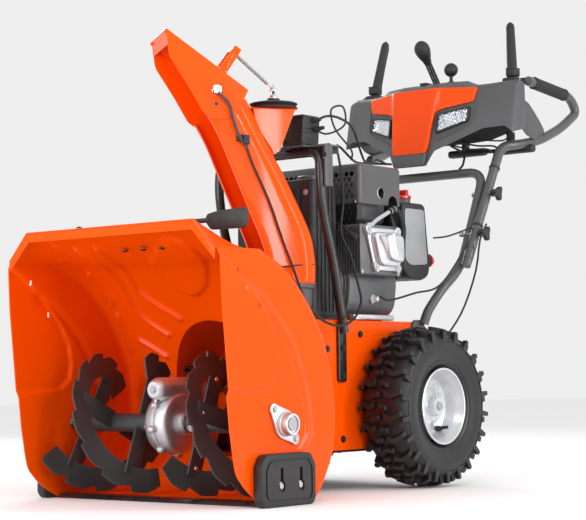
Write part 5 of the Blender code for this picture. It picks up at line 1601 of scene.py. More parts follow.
# engine
engine = {
    "case": [(-0.105, 0.3956), (0.085, 0.3956), (0.122, 0.425), (0.130, 0.500), (0.070, 0.600),
             (-0.090, 0.600), (-0.105, 0.580)],
    "caseBack": 0.017, "caseFront": -0.172, "crankZ": 0.5476,
    "barrel": ((0.020, -0.166, 0.514), (0.1500, -0.038, 0.612)),
    "finStart": (0.097, -0.100, 0.5605), "finStep": 0.0078, "finSize": (0.0022, 0.152, 0.116), "finCount": 8,
}


def makeEngineBlock():
    e = engine
    radii = [0.010, 0.012, 0.018, 0.022, 0.030, 0.012, 0.010]
    case = prism(roundOutline(e["case"], radii, 4), "y", e["caseFront"], e["caseBack"], 0.006, 3)
    # bolted front cover with a boss round the shaft
    front = [(-0.088, 0.412), (0.078, 0.412), (0.108, 0.440), (0.112, 0.505), (0.060, 0.590), (-0.080, 0.590)]
    cover = prism(roundOutline(front, 0.020, 5), "y", -0.1860, -0.1700, 0.005, 3)
    boss = lathe([(0.0135, -0.1895), (0.026, -0.1895), (0.031, -0.1865), (0.034, -0.181), (0.034, -0.165),
                  (0.0135, -0.165)], "y", (0, 0, e["crankZ"]), 40)
    boss2 = lathe([(0, -0.1895), (0.011, -0.1895), (0.0135, -0.187), (0.0155, -0.180), (0.0155, -0.165), (0, -0.165)],
                  "y", (0.082, 0, 0.520), 28)
    seam = prism(roundOutline([(x * 1.04, 0.500 + (z - 0.500) * 1.05) for x, z in front], 0.020, 5), "y", -0.1735,
                 -0.1695, 0.001, 1)
    shapes = [case, cover, boss, boss2, seam, box(*e["barrel"], 0.006, 3)]
    for x in (-0.070, 0.060):
        shapes.append(box((x - 0.014, -0.186, 0.3956), (x + 0.014, 0.016, 0.414), 0.004, 2))
    for x, z, tall in ((-0.050, 0.450, 0.050), (0.030, 0.440, 0.045), (0.075, 0.455, 0.040)):
        shapes.append(box((x - 0.0022, -0.1885, z - tall / 2), (x + 0.0022, -0.180, z + tall / 2), 0.0012, 2))
    fins = slabMesh(e["finStart"], "castDark", (e["finStep"], 0, 0), e["finSize"], e["finCount"])
    topFins = slabMesh((0.094, -0.100, 0.6105), "castDark", (0.0078, 0, 0), (0.0022, 0.130, 0.022), 8)
    flange = box((0.1550, -0.176, 0.503), (0.1622, -0.022, 0.6212), 0.003, 2)
    return join(*shapes, fins, topFins, flange)


keep("engineBlock", makeEngineBlock(), "castDark", "chassis", ["engine_block"])
blockSpots = [((x, -0.1860, z), (0, -1, 0), 0.62) for x, z in
              ((-0.076, 0.422), (0.072, 0.422), (0.101, 0.448), (0.103, 0.498), (0.052, 0.580), (-0.070, 0.580),
               (-0.078, 0.500))]
blockSpots += [((0.1622, y, z), (1, 0, 0), 0.5) for y, z in ((-0.171, 0.5085), (-0.0265, 0.5075))]
blockSpots += [((x, -0.160, 0.4150), (0, 0, 1), 0.8) for x in (-0.070, 0.060)]
keep("blockBolts", boltMesh(blockSpots, "chrome"), "chrome", "chassis")
bright = [box((0.118, -0.172, 0.3965), (0.1385, -0.010, 0.4095), 0.003), box((0.100, -0.166, 0.3960),
                                                                           (0.140, -0.130, 0.4030), 0.002)]
bright.append(lathe([(0, 0.1180), (0.0125, 0.1180), (0.0135, 0.120), (0.0135, 0.128), (0.010, 0.132), (0.006, 0.140),
                     (0, 0.141)], "x", (0, -0.0788, 0.447), 6))
bright.append(lathe([(0, 0.112), (0.015, 0.112), (0.015, 0.119), (0, 0.119)], "x", (0, -0.0788, 0.447), 24))
keep("engineFeet", join(*bright), "castAluminium", "chassis")


lid = {"y": (-0.171, -0.025), "z": (0.507, 0.619), "lean": (0.040, -0.004)}


def leanLid(y, z):
    # the cover leans back and narrows towards its foot
    down = (lid["z"][1] - z) / (lid["z"][1] - lid["z"][0])
    over = (y - lid["y"][0]) / (lid["y"][1] - lid["y"][0])
    return y + down * (lid["lean"][0] * (1 - over) + lid["lean"][1] * over)


def makeValveCover():
    y0, y1, z0, z1 = lid["y"][0], lid["y"][1], lid["z"][0], lid["z"][1]
    base = [(y0 + 0.006, z0 + 0.006), (y1 - 0.006, z0 + 0.006), (y1 - 0.006, z1 - 0.006), (y0 + 0.006, z1 - 0.006)]
    flange = prism(roundOutline(base, 0.012, 5), "x", 0.1632, 0.1700, 0.0015, 2)
    shapes = [flange]
    for y in (y0 + 0.0125, y1 - 0.0125):
        for z in (z0 + 0.0125, z1 - 0.0125):
            shapes.append(lathe([(0, 0.1632), (0.0122, 0.1632), (0.0122, 0.1725), (0.0105, 0.1740), (0, 0.1740)],
                                "x", (0, y, z), 24))
    low = [(y0 + 0.018, z0 + 0.016), (y1 - 0.018, z0 + 0.016), (y1 - 0.018, z1 - 0.016), (y0 + 0.018, z1 - 0.016)]
    shapes.append(prism(roundOutline(low, 0.022, 6), "x", 0.168, 0.1860, 0.006, 4))
    high = [(y0 + 0.050, z0 + 0.030), (y1 - 0.022, z0 + 0.024), (y1 - 0.022, z1 - 0.020), (y0 + 0.052, z1 - 0.020)]
    shapes.append(prism(roundOutline(high, 0.020, 6), "x", 0.180, 0.1990, 0.007, 4))
    wedge = [(y0 + 0.026, z1 - 0.026), (y0 + 0.050, z1 - 0.024), (y0 + 0.064, z0 + 0.050), (y0 + 0.056, z0 + 0.040)]
    shapes.append(prism(roundOutline(wedge, 0.004, 3), "x", 0.180, 0.1925, 0.003, 3))
    wedge = [(y0 + 0.072, z1 - 0.018), (y0 + 0.084, z1 - 0.018), (y0 + 0.094, z0 + 0.036), (y0 + 0.080, z0 + 0.040)]
    shapes.append(prism(roundOutline(wedge, 0.004, 3), "x", 0.188, 0.1998, 0.003, 3))
    mesh = join(*shapes)
    for v in mesh.vertices:
        v.co.y = leanLid(v.co.y, v.co.z)
    return mesh


keep("valveCover", makeValveCover(), "castAluminium", "chassis", ["valve_cover"])
lidSpots = [((0.1740, leanLid(y, z), z), (1, 0, 0), 0.72) for y in (-0.1585, -0.0375) for z in (0.5195, 0.6065)]
keep("valveBolts", boltMesh(lidSpots, "chrome"), "chrome", "chassis")

# breather: a bright tube and a rubber elbow
breather = {"tube": [(0.1585, -0.128, 0.6200), (0.1590, -0.105, 0.634), (0.1595, -0.052, 0.657)],
            "elbow": [(0.1595, -0.056, 0.655), (0.1600, -0.034, 0.663), (0.1590, -0.010, 0.650),
                      (0.1550, 0.008, 0.615), (0.1500, 0.004, 0.560), (0.1420, -0.006, 0.520)]}
keep("breatherTube", join(sweep(smoothPath(breather["tube"], 6), 0.0060, 20),
                          sweep([Vector((0.1584, -0.150, 0.616)), Vector((0.1585, -0.126, 0.621))], [0.0085, 0.0075],
                                20)), "chrome", "chassis")
keep("breatherElbow", sweep(smoothPath(breather["elbow"], 8), 0.0078, 20), "rubber", "chassis")
elbowPath = smoothPath(breather["elbow"], 8)
keep("elbowClamps", ringMesh(elbowPath[2:8], "steel", Count=2, RingRadius=0.0080, WireRadius=0.0011), "steel",
     "chassis")
lead = smoothPath([(0.1500, -0.192, 0.594), (0.130, -0.196, 0.612), (0.098, -0.186, 0.626), (0.060, -0.178, 0.640),
                   (0.020, -0.170, 0.646), (-0.030, -0.165, 0.640), (-0.080, -0.150, 0.628)], 8)
keep("sparkLead", sweep(lead, 0.0032, 12), "rubber", "chassis")
boot = sweep([Vector((0.1620, -0.190, 0.584)), Vector((0.1560, -0.192, 0.590)), Vector((0.1440, -0.1945, 0.598))],
             [0.0078, 0.0090, 0.0060], 18)
keep("plugBoot", boot, "rubber", "chassis")
print("engine block ready")

exhaust = {"low": (-0.100, -0.160, 0.667), "high": (0.150, 0.010, 0.767), "sheet": 0.0016, "pitch": 0.0152,
           "hole": 0.0070}


def makeGuard():
    g = exhaust
    outer = box(g["low"], g["high"], 0.010, 5)
    s = g["sheet"]
    inner = box((g["low"][0] + s, g["low"][1] + s, g["low"][2] - 0.02), [c - s for c in g["high"]], 0.0085, 4)
    holes = []
    for row in range(5):
        z = 0.6890 + row * g["pitch"] * 0.866
        for col in range(15):
            x = -0.086 + (col + (row % 2) * 0.5) * g["pitch"]
            if x < 0.134:
                hexagon = [(x + g["hole"] * math.cos(math.radians(60 * k + 30)),
                            z + g["hole"] * math.sin(math.radians(60 * k + 30))) for k in range(6)]
                holes.append(prism(hexagon, "y", g["low"][1] - 0.01, g["low"][1] + 0.010))
    side = [lathe([(0, 0.14), (0.0125, 0.14), (0.0125, 0.16), (0, 0.16)], "x", (0, -0.0745, 0.7005), 36),
            lathe([(0, 0.14), (0.0185, 0.14), (0.0185, 0.16), (0, 0.16)], "x", (0, -0.0255, 0.6780), 36)]
    slots = [box((-0.11, -0.130 + k * 0.018, 0.690), (-0.09, -0.122 + k * 0.018, 0.745)) for k in range(7)]
    whole = carve(outer, inner)
    return carve(whole, join(*holes), *side, join(*slots))


keep("muffleGuard", makeGuard(), "greyPaint", "chassis", ["muffler_guard"], 30)
lip = lathe([(0.0122, 0.1475), (0.0145, 0.1475), (0.0145, 0.1500), (0.0128, 0.1512), (0.0122, 0.1500)], "x",
            (0, -0.0745, 0.7005), 36)
keep("outletLip", lip, "steel", "chassis")


def makeMuffler():
    can = box((-0.088, -0.138, 0.6230), (0.125, -0.012, 0.7515), 0.022, 6)
    seam = carve(box((-0.090 + 0.0025, -0.1376, 0.684), (0.1245, -0.0124, 0.690), 0.0015, 2),
                 box((-0.080, -0.130, 0.67), (0.117, -0.020, 0.70)))
    pipe = lathe([(0.0090, 0.118), (0.0112, 0.118), (0.0112, 0.1248), (0.0090, 0.1248)], "x", (0, -0.0745, 0.7005), 28)
    return join(can, seam, pipe)


keep("mufflerCan", makeMuffler(), "castDark", "chassis", ["muffler"])


def makeHeatShield():
    # perforated plate that hangs under the guard and narrows downwards
    outline = [(0.010, 0.676), (0.140, 0.676), (0.140, 0.640), (0.126, 0.592), (0.108, 0.592), (0.080, 0.606),
               (0.010, 0.618)]
    plate = prism(roundOutline(outline, 0.006, 3), "y", -0.1585, -0.1565)
    edge = prism(roundOutline([(0.1385, -0.1585), (0.1400, -0.1585), (0.1400, -0.138), (0.1385, -0.138)], 0.0004, 1),
                 "z", 0.634, 0.676)
    holes = []
    for row in range(4):
        for col in range(7):
            x, z = 0.026 + col * 0.0155 + (row % 2) * 0.0077, 0.662 - row * 0.0125
            if x < 0.128 and z > 0.612:
                holes.append(prism(roundOutline([(x - 0.0026, z - 0.0042), (x + 0.0026, z - 0.0042),
                                                 (x + 0.0026, z + 0.0042), (x - 0.0026, z + 0.0042)], 0.0025, 2),
                                   "y", -0.165, -0.150))
    return join(carve(plate, join(*holes)), edge)


keep("heatShield", makeHeatShield(), "blackPaint", "chassis", (), 30)
guardSpots = [((0.100, -0.1600, 0.676), (0, -1, 0), 0.5), ((0.135, -0.1600, 0.676), (0, -1, 0), 0.5),
              ((0.020, -0.1600, 0.676), (0, -1, 0), 0.5), ((-0.080, -0.1600, 0.676), (0, -1, 0), 0.5)]
guardSpots += [((0.118, -0.1585, 0.600), (0, -1, 0), 0.55)]
keep("guardBolts", boltMesh(guardSpots, "chrome"), "chrome", "chassis")
print("exhaust ready")

shroud = {"low": (-0.125, 0.0225, 0.430), "high": (0.060, 0.112, 0.665), "centre": (-0.032, 0.5476)}


def makeShroud():
    s = shroud
    outer = box(s["low"], s["high"], 0.016, 5)
    inner = box((s["low"][0] + 0.0025, s["low"][1] - 0.02, s["low"][2] + 0.0025), [c - 0.0025 for c in s["high"]],
                0.014, 4)
    cx, cz = s["centre"]
    slots = [box((-0.14, 0.040 + k * 0.012, 0.470), (-0.118, 0.046 + k * 0.012, 0.620)) for k in range(5)]
    slots += [box((-0.100, 0.038 + k * 0.012, 0.655), (0.035, 0.043 + k * 0.012, 0.68)) for k in range(5)]
    body = carve(outer, inner, join(*slots))
    drumCap = lathe([(0, 0.108), (0.080, 0.108), (0.080, 0.1120), (0.076, 0.1165), (0.060, 0.1178), (0.030, 0.1178),
                     (0.027, 0.1165), (0, 0.1165)], "y", (cx, 0, cz), 56)
    cuts = []
    for k in range(16):
        a = math.radians(22.5 * k)
        cut = box((0.036, 0.1145, -0.0032), (0.070, 0.13, 0.0032))
        bmesh.ops.rotate(cut, verts=cut.verts, cent=(0, 0, 0), matrix=Matrix.Rotation(a, 3, "Y"))
        cuts.append(shift(cut, (cx, 0, cz)))
    return join(body, carve(drumCap, join(*cuts)))


keep("engineShroud", makeShroud(), "blackPlastic", "chassis", ["engine_shroud"])
grip = join(box((0.020, 0.106, 0.628), (0.052, 0.1175, 0.640), 0.0045, 3),
            sweep([Vector((0.036, 0.104, 0.634)), Vector((0.036, 0.112, 0.634))], 0.006, 16))
keep("starterGrip", grip, "greyPlastic", "chassis")
intake = {"slots": 7, "pitch": 0.016, "round": 0.010}
carb = carve(box((-0.150, -0.150, 0.500), (-0.1075, -0.020, 0.602), intake["round"], 4),
             join(*[box((-0.16, -0.135 + k * intake["pitch"], 0.515), (-0.1475, -0.129 + k * intake["pitch"], 0.587))
                    for k in range(intake["slots"])]))
knobShape = lathe([(0, -0.162), (0.011, -0.162), (0.0125, -0.160), (0.0125, -0.152), (0.006, -0.150),
                   (0.006, -0.140), (0, -0.140)], "x", (0, -0.085, 0.622), 8)
keep("intakeCover", join(carb, box((-0.148, -0.100, 0.596), (-0.118, -0.070, 0.640), 0.005),
                         shift(knobShape, (0.0105, 0, 0))), "blackPlastic", "chassis")
shieldLine = [(-0.032, 0.655), (-0.012, 0.662), (0.016, 0.662), (0.0185, 0.520), (0.006, 0.498), (-0.012, 0.512),
              (-0.022, 0.548), (-0.006, 0.580), (-0.020, 0.620)]
sidePlate = prism(roundOutline(shieldLine, 0.010, 4), "x", 0.1360, 0.1470, 0.003, 3)
keep("tankShield", sidePlate, "blackPlastic", "chassis")
print("shroud ready")

tank = {"outline": [(0.022, 0.520), (0.045, 0.500), (0.100, 0.496), (0.128, 0.508), (0.136, 0.530),
                    (0.118, 0.680), (0.108, 0.687), (0.028, 0.687), (0.020, 0.680)],
        "panel": [(0.029, 0.545), (0.050, 0.533), (0.122, 0.537), (0.1105, 0.668), (0.104, 0.672), (0.029, 0.672)]}


def makeTank():
    t = tank
    body = prism(roundOutline(t["outline"], [0.020, 0.030, 0.030, 0.016, 0.012, 0.010, 0.008, 0.010, 0.008], 5),
                 "x", 0.0605, 0.1468, 0.007, 4)
    seam = prism(roundOutline([(y, z) for y, z in t["outline"]], 0.010, 4), "x", 0.1005, 0.1030)
    neck = lathe([(0, 0.6800), (0.0235, 0.6800), (0.0235, 0.6868), (0, 0.6868)], "z", (0.105, 0.072, 0), 32)
    return join(body, seam, neck)


keep("fuelTank", makeTank(), "blackPlastic", "chassis", ["fuel_tank"])
sheet = prism(roundOutline(tank["panel"], 0.010, 4), "x", 0.1440, 0.1478, 0.0012, 2)
keep("tankPanel", sheet, "lightPlastic", "chassis")
tankCap = lathe([(0, 0.6878), (0.0225, 0.6878), (0.0235, 0.689), (0.0235, 0.697), (0.0225, 0.6985), (0, 0.6985)],
                "z", (0.105, 0.072, 0), 48, lambda a, r, t: -0.0009 if r > 0.02 and math.sin(a * 24) > 0 else 0)
keep("capNeck", tankCap, "greyPlastic", "fuel_cap")


def makeCap():
    disc = lathe([(0, 0.6985), (0.0240, 0.6985), (0.0255, 0.700), (0.0255, 0.7055), (0.0235, 0.7075), (0, 0.7080)],
                 "z", (0.105, 0.072, 0), 48, lambda a, r, t: -0.0010 if r > 0.0235 and math.sin(a * 12) > 0.2 else 0)
    tee = box((0.105 - 0.021, 0.072 - 0.006, 0.705), (0.105 + 0.021, 0.072 + 0.006, 0.7218), 0.0045, 4)
    return join(disc, tee)


keep("fuelCap", makeCap(), "redPlastic", "fuel_cap", ["fuel_cap"])
button = lathe([(0, 0.1400), (0.0165, 0.1400), (0.0170, 0.1412), (0.0170, 0.1435), (0.0140, 0.1445), (0.0130, 0.150),
                (0.0110, 0.1560), (0.0070, 0.1598), (0.0030, 0.1608), (0, 0.1609)], "y", (0.134, 0, 0.548), 40)
keep("primerButton", button, "redPlastic", "primer_button", ["primer_button"])
seat = lathe([(0.0176, 0.128), (0.0196, 0.128), (0.0196, 0.1420), (0.0186, 0.1432), (0.0176, 0.1432)], "y",
             (0.1275, 0, 0.548), 36)
keep("primerSeat", seat, "blackPlastic", "chassis")
print("tank ready")

# handles
handleData = {
    "lower": [(0.1540, 0.092, 0.390), (0.1600, 0.100, 0.420), (0.1760, 0.135, 0.472), (0.185, 0.215, 0.532),
              (0.185, 0.330, 0.783)],
    "upper": [(0.2105, 0.198, 0.534), (0.2105, 0.372, 0.850), (0.235, 0.425, 0.858), (0.255, 0.490, 0.872),
              (0.262, 0.590, 0.914), (0.262, 0.676, 0.965), (0.262, 0.640, 1.003), (0.262, 0.428, 1.021)],
    "gripFrom": 0.452, "gripTo": 0.612,
}
lowerLine = roundPath(handleData["lower"] + [(-x, y, z) for x, y, z in reversed(handleData["lower"])], 0.050, 9)
lowerParts = [sweep(lowerLine, 0.0119, 24)]
for s in (1, -1):
    low, high = sorted((s * 0.1425, s * 0.1488))
    lug = [(0.037, 0.302), (0.101, 0.302), (0.103, 0.306), (0.103, 0.390), (0.094, 0.3995), (0.060, 0.3995),
           (0.035, 0.350), (0.035, 0.306)]
    lowerParts.append(prism(roundOutline(lug, 0.005, 3), "x", low, high, 0.0012, 2))
keep("lowerHandle", join(*lowerParts), "greyPaint", "chassis", ["lower_handle"])
lugSpots = [((s * 0.1488, y, z), (s, 0, 0), 0.85) for s in (1, -1) for y, z in ((0.052, 0.325), (0.088, 0.325),
                                                                             (0.078, 0.372))]
keep("lugBolts", boltMesh(lugSpots, "blackPaint"), "blackPaint", "chassis")


def makeKnob(side, centre):
    # three-lobed wing knob on a threaded stem
    x, y, z = centre
    rim = []
    for k in range(48):
        a = 2 * math.pi * k / 48
        r = 0.0118 + 0.0082 * (0.5 + 0.5 * math.cos(3 * a)) ** 1.4
        rim.append((y + r * math.cos(a + 0.9), z + r * math.sin(a + 0.9)))
    low, high = sorted((side * (x - 0.002), side * (x + 0.0105)))
    wing = prism(rim, "x", low, high, 0.003, 3)
    collarShape = lathe([(0, side * (x - 0.0115)), (0.0085, side * (x - 0.0115)), (0.0085, side * (x - 0.001)),
                         (0, side * (x - 0.001))], "x", (0, y, z), 24)
    return join(wing, collarShape)


for side, name in ((1, "left"), (-1, "right")):
    line = roundPath([(side * x, y, z) for x, y, z in handleData["upper"]], 0.038, 9)
    keep(f"{name}UpperHandle", sweep(line, 0.0124, 24), "greyPaint", "chassis",
         [f"upper_handle_{name}"])
    # sleeve on the hand loop, with shallow ribs
    gripX = side * 0.262
    start = Vector((gripX, handleData["gripTo"], 1.0054))
    end = Vector((gripX, handleData["gripFrom"], 1.0190))
    steps = 44
    path = [start + (end - start) * (k / steps) for k in range(steps + 1)]
    size = [0.0158 if 2 < k < steps - 2 and k % 4 else 0.0150 for k in range(steps + 1)]
    size[0] = size[-1] = 0.0138
    size[1] = size[-2] = 0.0166
    keep(f"{name}Grip", sweep(path, size, 24), "rubber", "chassis")
    keep(f"{name}Knob", makeKnob(side, (0.2365, 0.305, 0.722)), "blackPlastic", f"handle_knob_{name}",
         [f"handle_knob_{name}"])
    keep(f"{name}LowKnob", makeKnob(side, (0.2365, 0.2445, 0.617)), "blackPlastic", "chassis")
    studs = []
    for y, z in ((0.305, 0.722), (0.2445, 0.617)):
        a, b = sorted((side * 0.168, side * 0.228))
        studs.append(lathe([(0, a), (0.0032, a), (0.0032, b), (0, b)], "x", (0, y, z), 16))
        a, b = sorted((side * 0.1655, side * 0.1725))
        studs.append(lathe([(0, a), (0.0068, a), (0.0068, b), (0, b)], "x", (0, y, z), 6))
    keep(f"{name}Studs", join(*studs), "steel", "chassis")
    # plate between the loop's lower leg and the console
    a, b = sorted((side * 0.2565, side * 0.2600))
    plate = [(0.395, 0.972), (0.430, 0.966), (0.456, 0.948), (0.486, 0.924), (0.510, 0.900), (0.506, 0.884),
             (0.470, 0.868), (0.420, 0.880), (0.392, 0.900)]
    keep(f"{name}Gusset", prism(roundOutline(plate, 0.008, 4), "x", a, b, 0.0012, 2), "greyPlastic", "chassis")
    sleeveEnd = roundPath([(side * 0.2105, 0.2305, 0.593), (side * 0.2105, 0.2080, 0.552)], 0.01)
    keep(f"{name}Ferrule", sweep(sleeveEnd, 0.0132, 24), "greyPaint", "chassis")
print("handles ready")

# console
console = {
    # width, front bottom z, front top z, rear y, rear top z, rear bottom z
    "stations": [(0.2660, 0.880, 1.012, 0.405, 1.014, 0.895), (0.2450, 0.898, 1.017, 0.418, 1.020, 0.898),
                 (0.1900, 0.895, 1.012, 0.430, 1.016, 0.890), (0.1280, 0.868, 1.010, 0.450, 1.020, 0.880),
                 (0.0700, 0.842, 1.010, 0.460, 1.022, 0.880), (0.0500, 0.804, 1.010, 0.462, 1.022, 0.880)],
    "sheet": 0.0026, "front": 0.0135,
}


def frontLine(x, z):
    return 0.256 + 0.20 * (z - 0.836) + 0.30 * max(0.0, abs(x) - 0.06)


def consoleProfile(x, inset=0.0):
    stations = console["stations"]
    wide = abs(x)
    for far, near in zip(stations, stations[1:]):
        if wide >= near[0]:
            break
    t = min(1.0, max(0.0, (wide - near[0]) / (far[0] - near[0])))
    low, high, rear, rearHigh, rearLow = [n + (f - n) * t for n, f in zip(near[1:], far[1:])]
    lift = 0.004 + 0.016 * (1 - min(1.0, max(0.0, (wide - 0.122) / 0.012)))
    y0, y1 = frontLine(x, low) + console["front"], frontLine(x, high) + console["front"]
    corners = [(y0, low), (y1, high), (y1 + 0.030, high + lift), (rear, rearHigh), (rear + 0.004, rearLow)]
    line = [(0.0, y, z) for y, z in corners]
    cornerRound = 0.016
    path = roundPath(line, cornerRound, 5)
    return [(p[1], p[2]) for p in path]


def makeConsole():
    widths = []
    keys = [0.0, 0.030, 0.046, 0.0505, 0.056, 0.0640, 0.0705, 0.085, 0.100, 0.115, 0.121, 0.125, 0.129,
            0.134, 0.150, 0.170,
            0.188, 0.195, 0.215, 0.232, 0.243, 0.250, 0.257, 0.2610]
    for k in keys:
        widths.append((k, 1.0))
    for angle in (30, 60, 80, 90):
        a = math.radians(angle)
        widths.append((0.2610 + 0.0048 * math.sin(a), 1 - 0.05 * (1 - math.cos(a))))
    widths += [(0.2659, 0.60), (0.2659, 0.25), (0.2659, 0.02)]
    rows = [(-x, scale) for x, scale in reversed(widths[1:])] + widths
    outer = []
    for x, scale in rows:
        line = consoleProfile(x)
        middle = ((line[0][0] + line[-1][0]) / 2, (line[0][1] + line[-1][1]) / 2)
        outer.append([Vector((x, middle[0] + (y - middle[0]) * scale, middle[1] + (z - middle[1]) * scale))
                      for y, z in line])
    normals = gridNormals(outer)
    inner = []
    for i, row in enumerate(outer):
        found = []
        for j, p in enumerate(row):
            n = normals[i][j]
            target = Vector((p[0] * 0.9, 0.36, 0.90))
            if abs(rows[i][0]) > 0.262:
                n = Vector((-1 if rows[i][0] > 0 else 1, 0, 0)) * 0.7 + (target - p).normalized() * 0.7
            elif n.dot(target - p) < 0:
                n = -n
            found.append(p + n * console["sheet"])
        inner.append(found)
    return shell(outer, inner)


keep("consoleShell", makeConsole(), "greyPlastic", "chassis", ["dash_shell"], 32)


def onFront(bm, cuts=(), offset=0.0):
    # lays a flat piece on the console's front
    for x in cuts:
        for s in (1, -1):
            bmesh.ops.bisect_plane(bm, geom=bm.verts[:] + bm.edges[:] + bm.faces[:], plane_co=(s * x, 0, 0),
                                   plane_no=(1, 0, 0))
    for v in bm.verts:
        over = min(1.0, max(0.0, (abs(v.co.x) - 0.058 + 0.10 * (0.90 - v.co.z)) / 0.012))
        bulge = offset * over * over * (3 - 2 * over)
        v.co.y += frontLine(v.co.x, v.co.z) + bulge
    return bm


def makeDashFront():
    half = [(0.048, 0.836), (0.054, 0.850), (0.066, 0.945), (0.085, 0.952), (0.160, 0.966), (0.170, 1.004),
            (0.073, 1.009)]
    whole = half + [(-x, z) for x, z in reversed(half)]
    plate = prism(roundOutline(whole, 0.007, 4), "y", 0.0002, 0.0125, 0.0030, 3)
    return onFront(plate, (0.030, 0.048, 0.052, 0.056, 0.060, 0.064, 0.068, 0.072, 0.076, 0.085, 0.10, 0.12, 0.14,
                           0.155), 0.0050)


front = makeDashFront()
for v in front.verts:
    limit = frontLine(v.co.x, v.co.z) + 0.0128
    v.co.y = min(v.co.y, limit)
bmesh.ops.remove_doubles(front, verts=front.verts, dist=1e-6)
keep("dashFront", front, "orangePlastic", "chassis", ["dash_front"], 30)

lamp = {"corners": [(0.076, 0.892), (0.150, 0.917), (0.151, 0.950), (0.077, 0.936)]}


def lampGrid(side, depth, relief, steps=(22, 12)):
    # bowl of small facets behind the lens
    (x0, z0), (x1, z1), (x2, z2), (x3, z3) = lamp["corners"]
    rows = []
    for i in range(steps[0] + 1):
        u = i / steps[0]
        row = []
        for j in range(steps[1] + 1):
            v = j / steps[1]
            x = (x0 * (1 - u) + x1 * u) * (1 - v) + (x3 * (1 - u) + x2 * u) * v
            z = (z0 * (1 - u) + z1 * u) * (1 - v) + (z3 * (1 - u) + z2 * u) * v
            wave = math.sin(i * 2.1 + j * 0.7) * math.cos(j * 1.9 - i * 0.6)
            edge = min(u, 1 - u, v, 1 - v)
            drop = relief * wave if edge > 0.02 else 0
            row.append(Vector((side * x, depth + drop + frontLine(x, z), z)))
        rows.append(row)
    return rows


for side, name in ((1, "left"), (-1, "right")):
    centre = (sum(x for x, z in lamp["corners"]) / 4, sum(z for x, z in lamp["corners"]) / 4)
    wider = [(side * (centre[0] + (x - centre[0]) * 1.10 + (0.001 if x > 0.1 else -0.001)),
              centre[1] + (z - centre[1]) * 1.20) for x, z in lamp["corners"]]
    lens = [(side * (centre[0] + (x - centre[0]) * 0.985), centre[1] + (z - centre[1]) * 0.97)
            for x, z in lamp["corners"]]
    glass = prism(roundOutline(lens, 0.004, 4), "y", 0.0048, 0.0070, 0.0008, 2)
    keep(f"{name}Lens", onFront(glass, (0.09, 0.11, 0.13)), "clearLens", "chassis",
         [f"headlamp_{name}"])
    bezel = carve(prism(roundOutline(wider, 0.006, 4), "y", 0.0040, 0.0128, 0.0012, 2),
                  prism(roundOutline([(x, z) for x, z in lens], 0.004, 4), "y", -0.01, 0.03))
    keep(f"{name}Bezel", onFront(bmeshOf(bezel), (0.09, 0.11, 0.13)), "blackPlastic", "chassis")
    bowl = shell(lampGrid(side, 0.0100, 0.0022), lampGrid(side, 0.0124, 0.0))
    keep(f"{name}Reflector", bowl, "reflector", "chassis", (), 4)
chin = [(0.0485, 0.806), (0.0520, 0.838), (-0.0520, 0.838), (-0.0485, 0.806)]
chinPart = prism(roundOutline(chin, 0.006, 4), "y", 0.0030, 0.0130, 0.003, 3)
keep("consoleChin", onFront(chinPart, (0.03,)), "greyPlastic", "chassis")
ridge = []
for side in (1, -1):
    # raised edge round each pod and the recess beside the lamps
    rail = smoothPath([(side * 0.176, frontLine(0.176, 1.004) + 0.0125, 1.004),
                       (side * 0.168, frontLine(0.168, 0.962) + 0.0125, 0.962),
                       (side * 0.164, frontLine(0.164, 0.915) + 0.0125, 0.915),
                       (side * 0.120, frontLine(0.120, 0.890) + 0.0125, 0.890),
                       (side * 0.074, frontLine(0.074, 0.870) + 0.0125, 0.870)], 8)
    ridge.append(sweep(rail, 0.0022, 10))
keep("consoleRidges", join(*ridge), "greyPlastic", "chassis")
print("console ready")


def makeLever(side):
    base, tip = Vector((side * 0.220, 0.420, 1.036)), Vector((side * 0.200, 0.446, 1.1855))
    path, size = [], []
    for k in range(25):
        t = k / 24
        path.append(base + (tip - base) * t)
        r = 0.0145 - 0.0030 * t
        if t > 0.90:
            r *= math.sqrt(max(0.03, 1 - ((t - 0.90) / 0.1) ** 2))
        size.append(r)
    paddle = sweep(path, size, 24, (1.0, 0.86), (1, 0, 0))
    low, high = sorted((side * 0.2065, side * 0.2355))
    foot = box((low, 0.4055, 1.0345), (high, 0.4365, 1.0570), 0.006, 4)
    flange = box((low + 0.0006, 0.4060, 1.0545), (high - 0.0006, 0.4365, 1.0578), 0.0014, 2)
    line = [Vector((side * 0.2085, 0.4310, 1.062)), Vector((side * 0.1945, 0.4500, 1.165))]
    rib = sweep([line[0] + (line[1] - line[0]) * (k / 6) for k in range(7)], 0.0018, 8)
    return join(paddle, foot, flange, rib)


for side, name in ((1, "left"), (-1, "right")):
    keep(f"{name}Lever", makeLever(side), "blackPlastic", f"clutch_lever_{name}",
         [f"clutch_lever_{name}"])
    low, high = sorted((side * 0.200, side * 0.242))
    recess = box((min(side * 0.2035, side * 0.2385), 0.402, 1.0245), (max(side * 0.2035, side * 0.2385), 0.460, 1.05))
    pod = carve(box((low, 0.398, 1.0155), (high, 0.446, 1.0325), 0.006, 4), recess)
    wing = prism(roundOutline([(0.436, 1.016), (0.436, 1.0325), (0.452, 1.0330), (0.500, 1.0300), (0.500, 1.0190)],
                              0.004, 3), "x", min(side * 0.2515, side * 0.2585),
                              max(side * 0.2515, side * 0.2585), 0.0015)
    bridge = box((min(side * 0.238, side * 0.256), 0.424, 1.0155), (max(side * 0.238, side * 0.256), 0.446, 1.0315),
                 0.005, 3)
    keep(f"{name}LeverPod", join(pod, wing, bridge), "blackPlastic", "chassis")
    spots = [((side * 0.2420, 0.421, 1.024), (side, 0, 0), 0.6), ((side * 0.2585, 0.484, 1.0255), (side, 0, 0), 0.5)]
    keep(f"{name}PodScrews", boltMesh(spots, "steel"), "steel", "chassis")


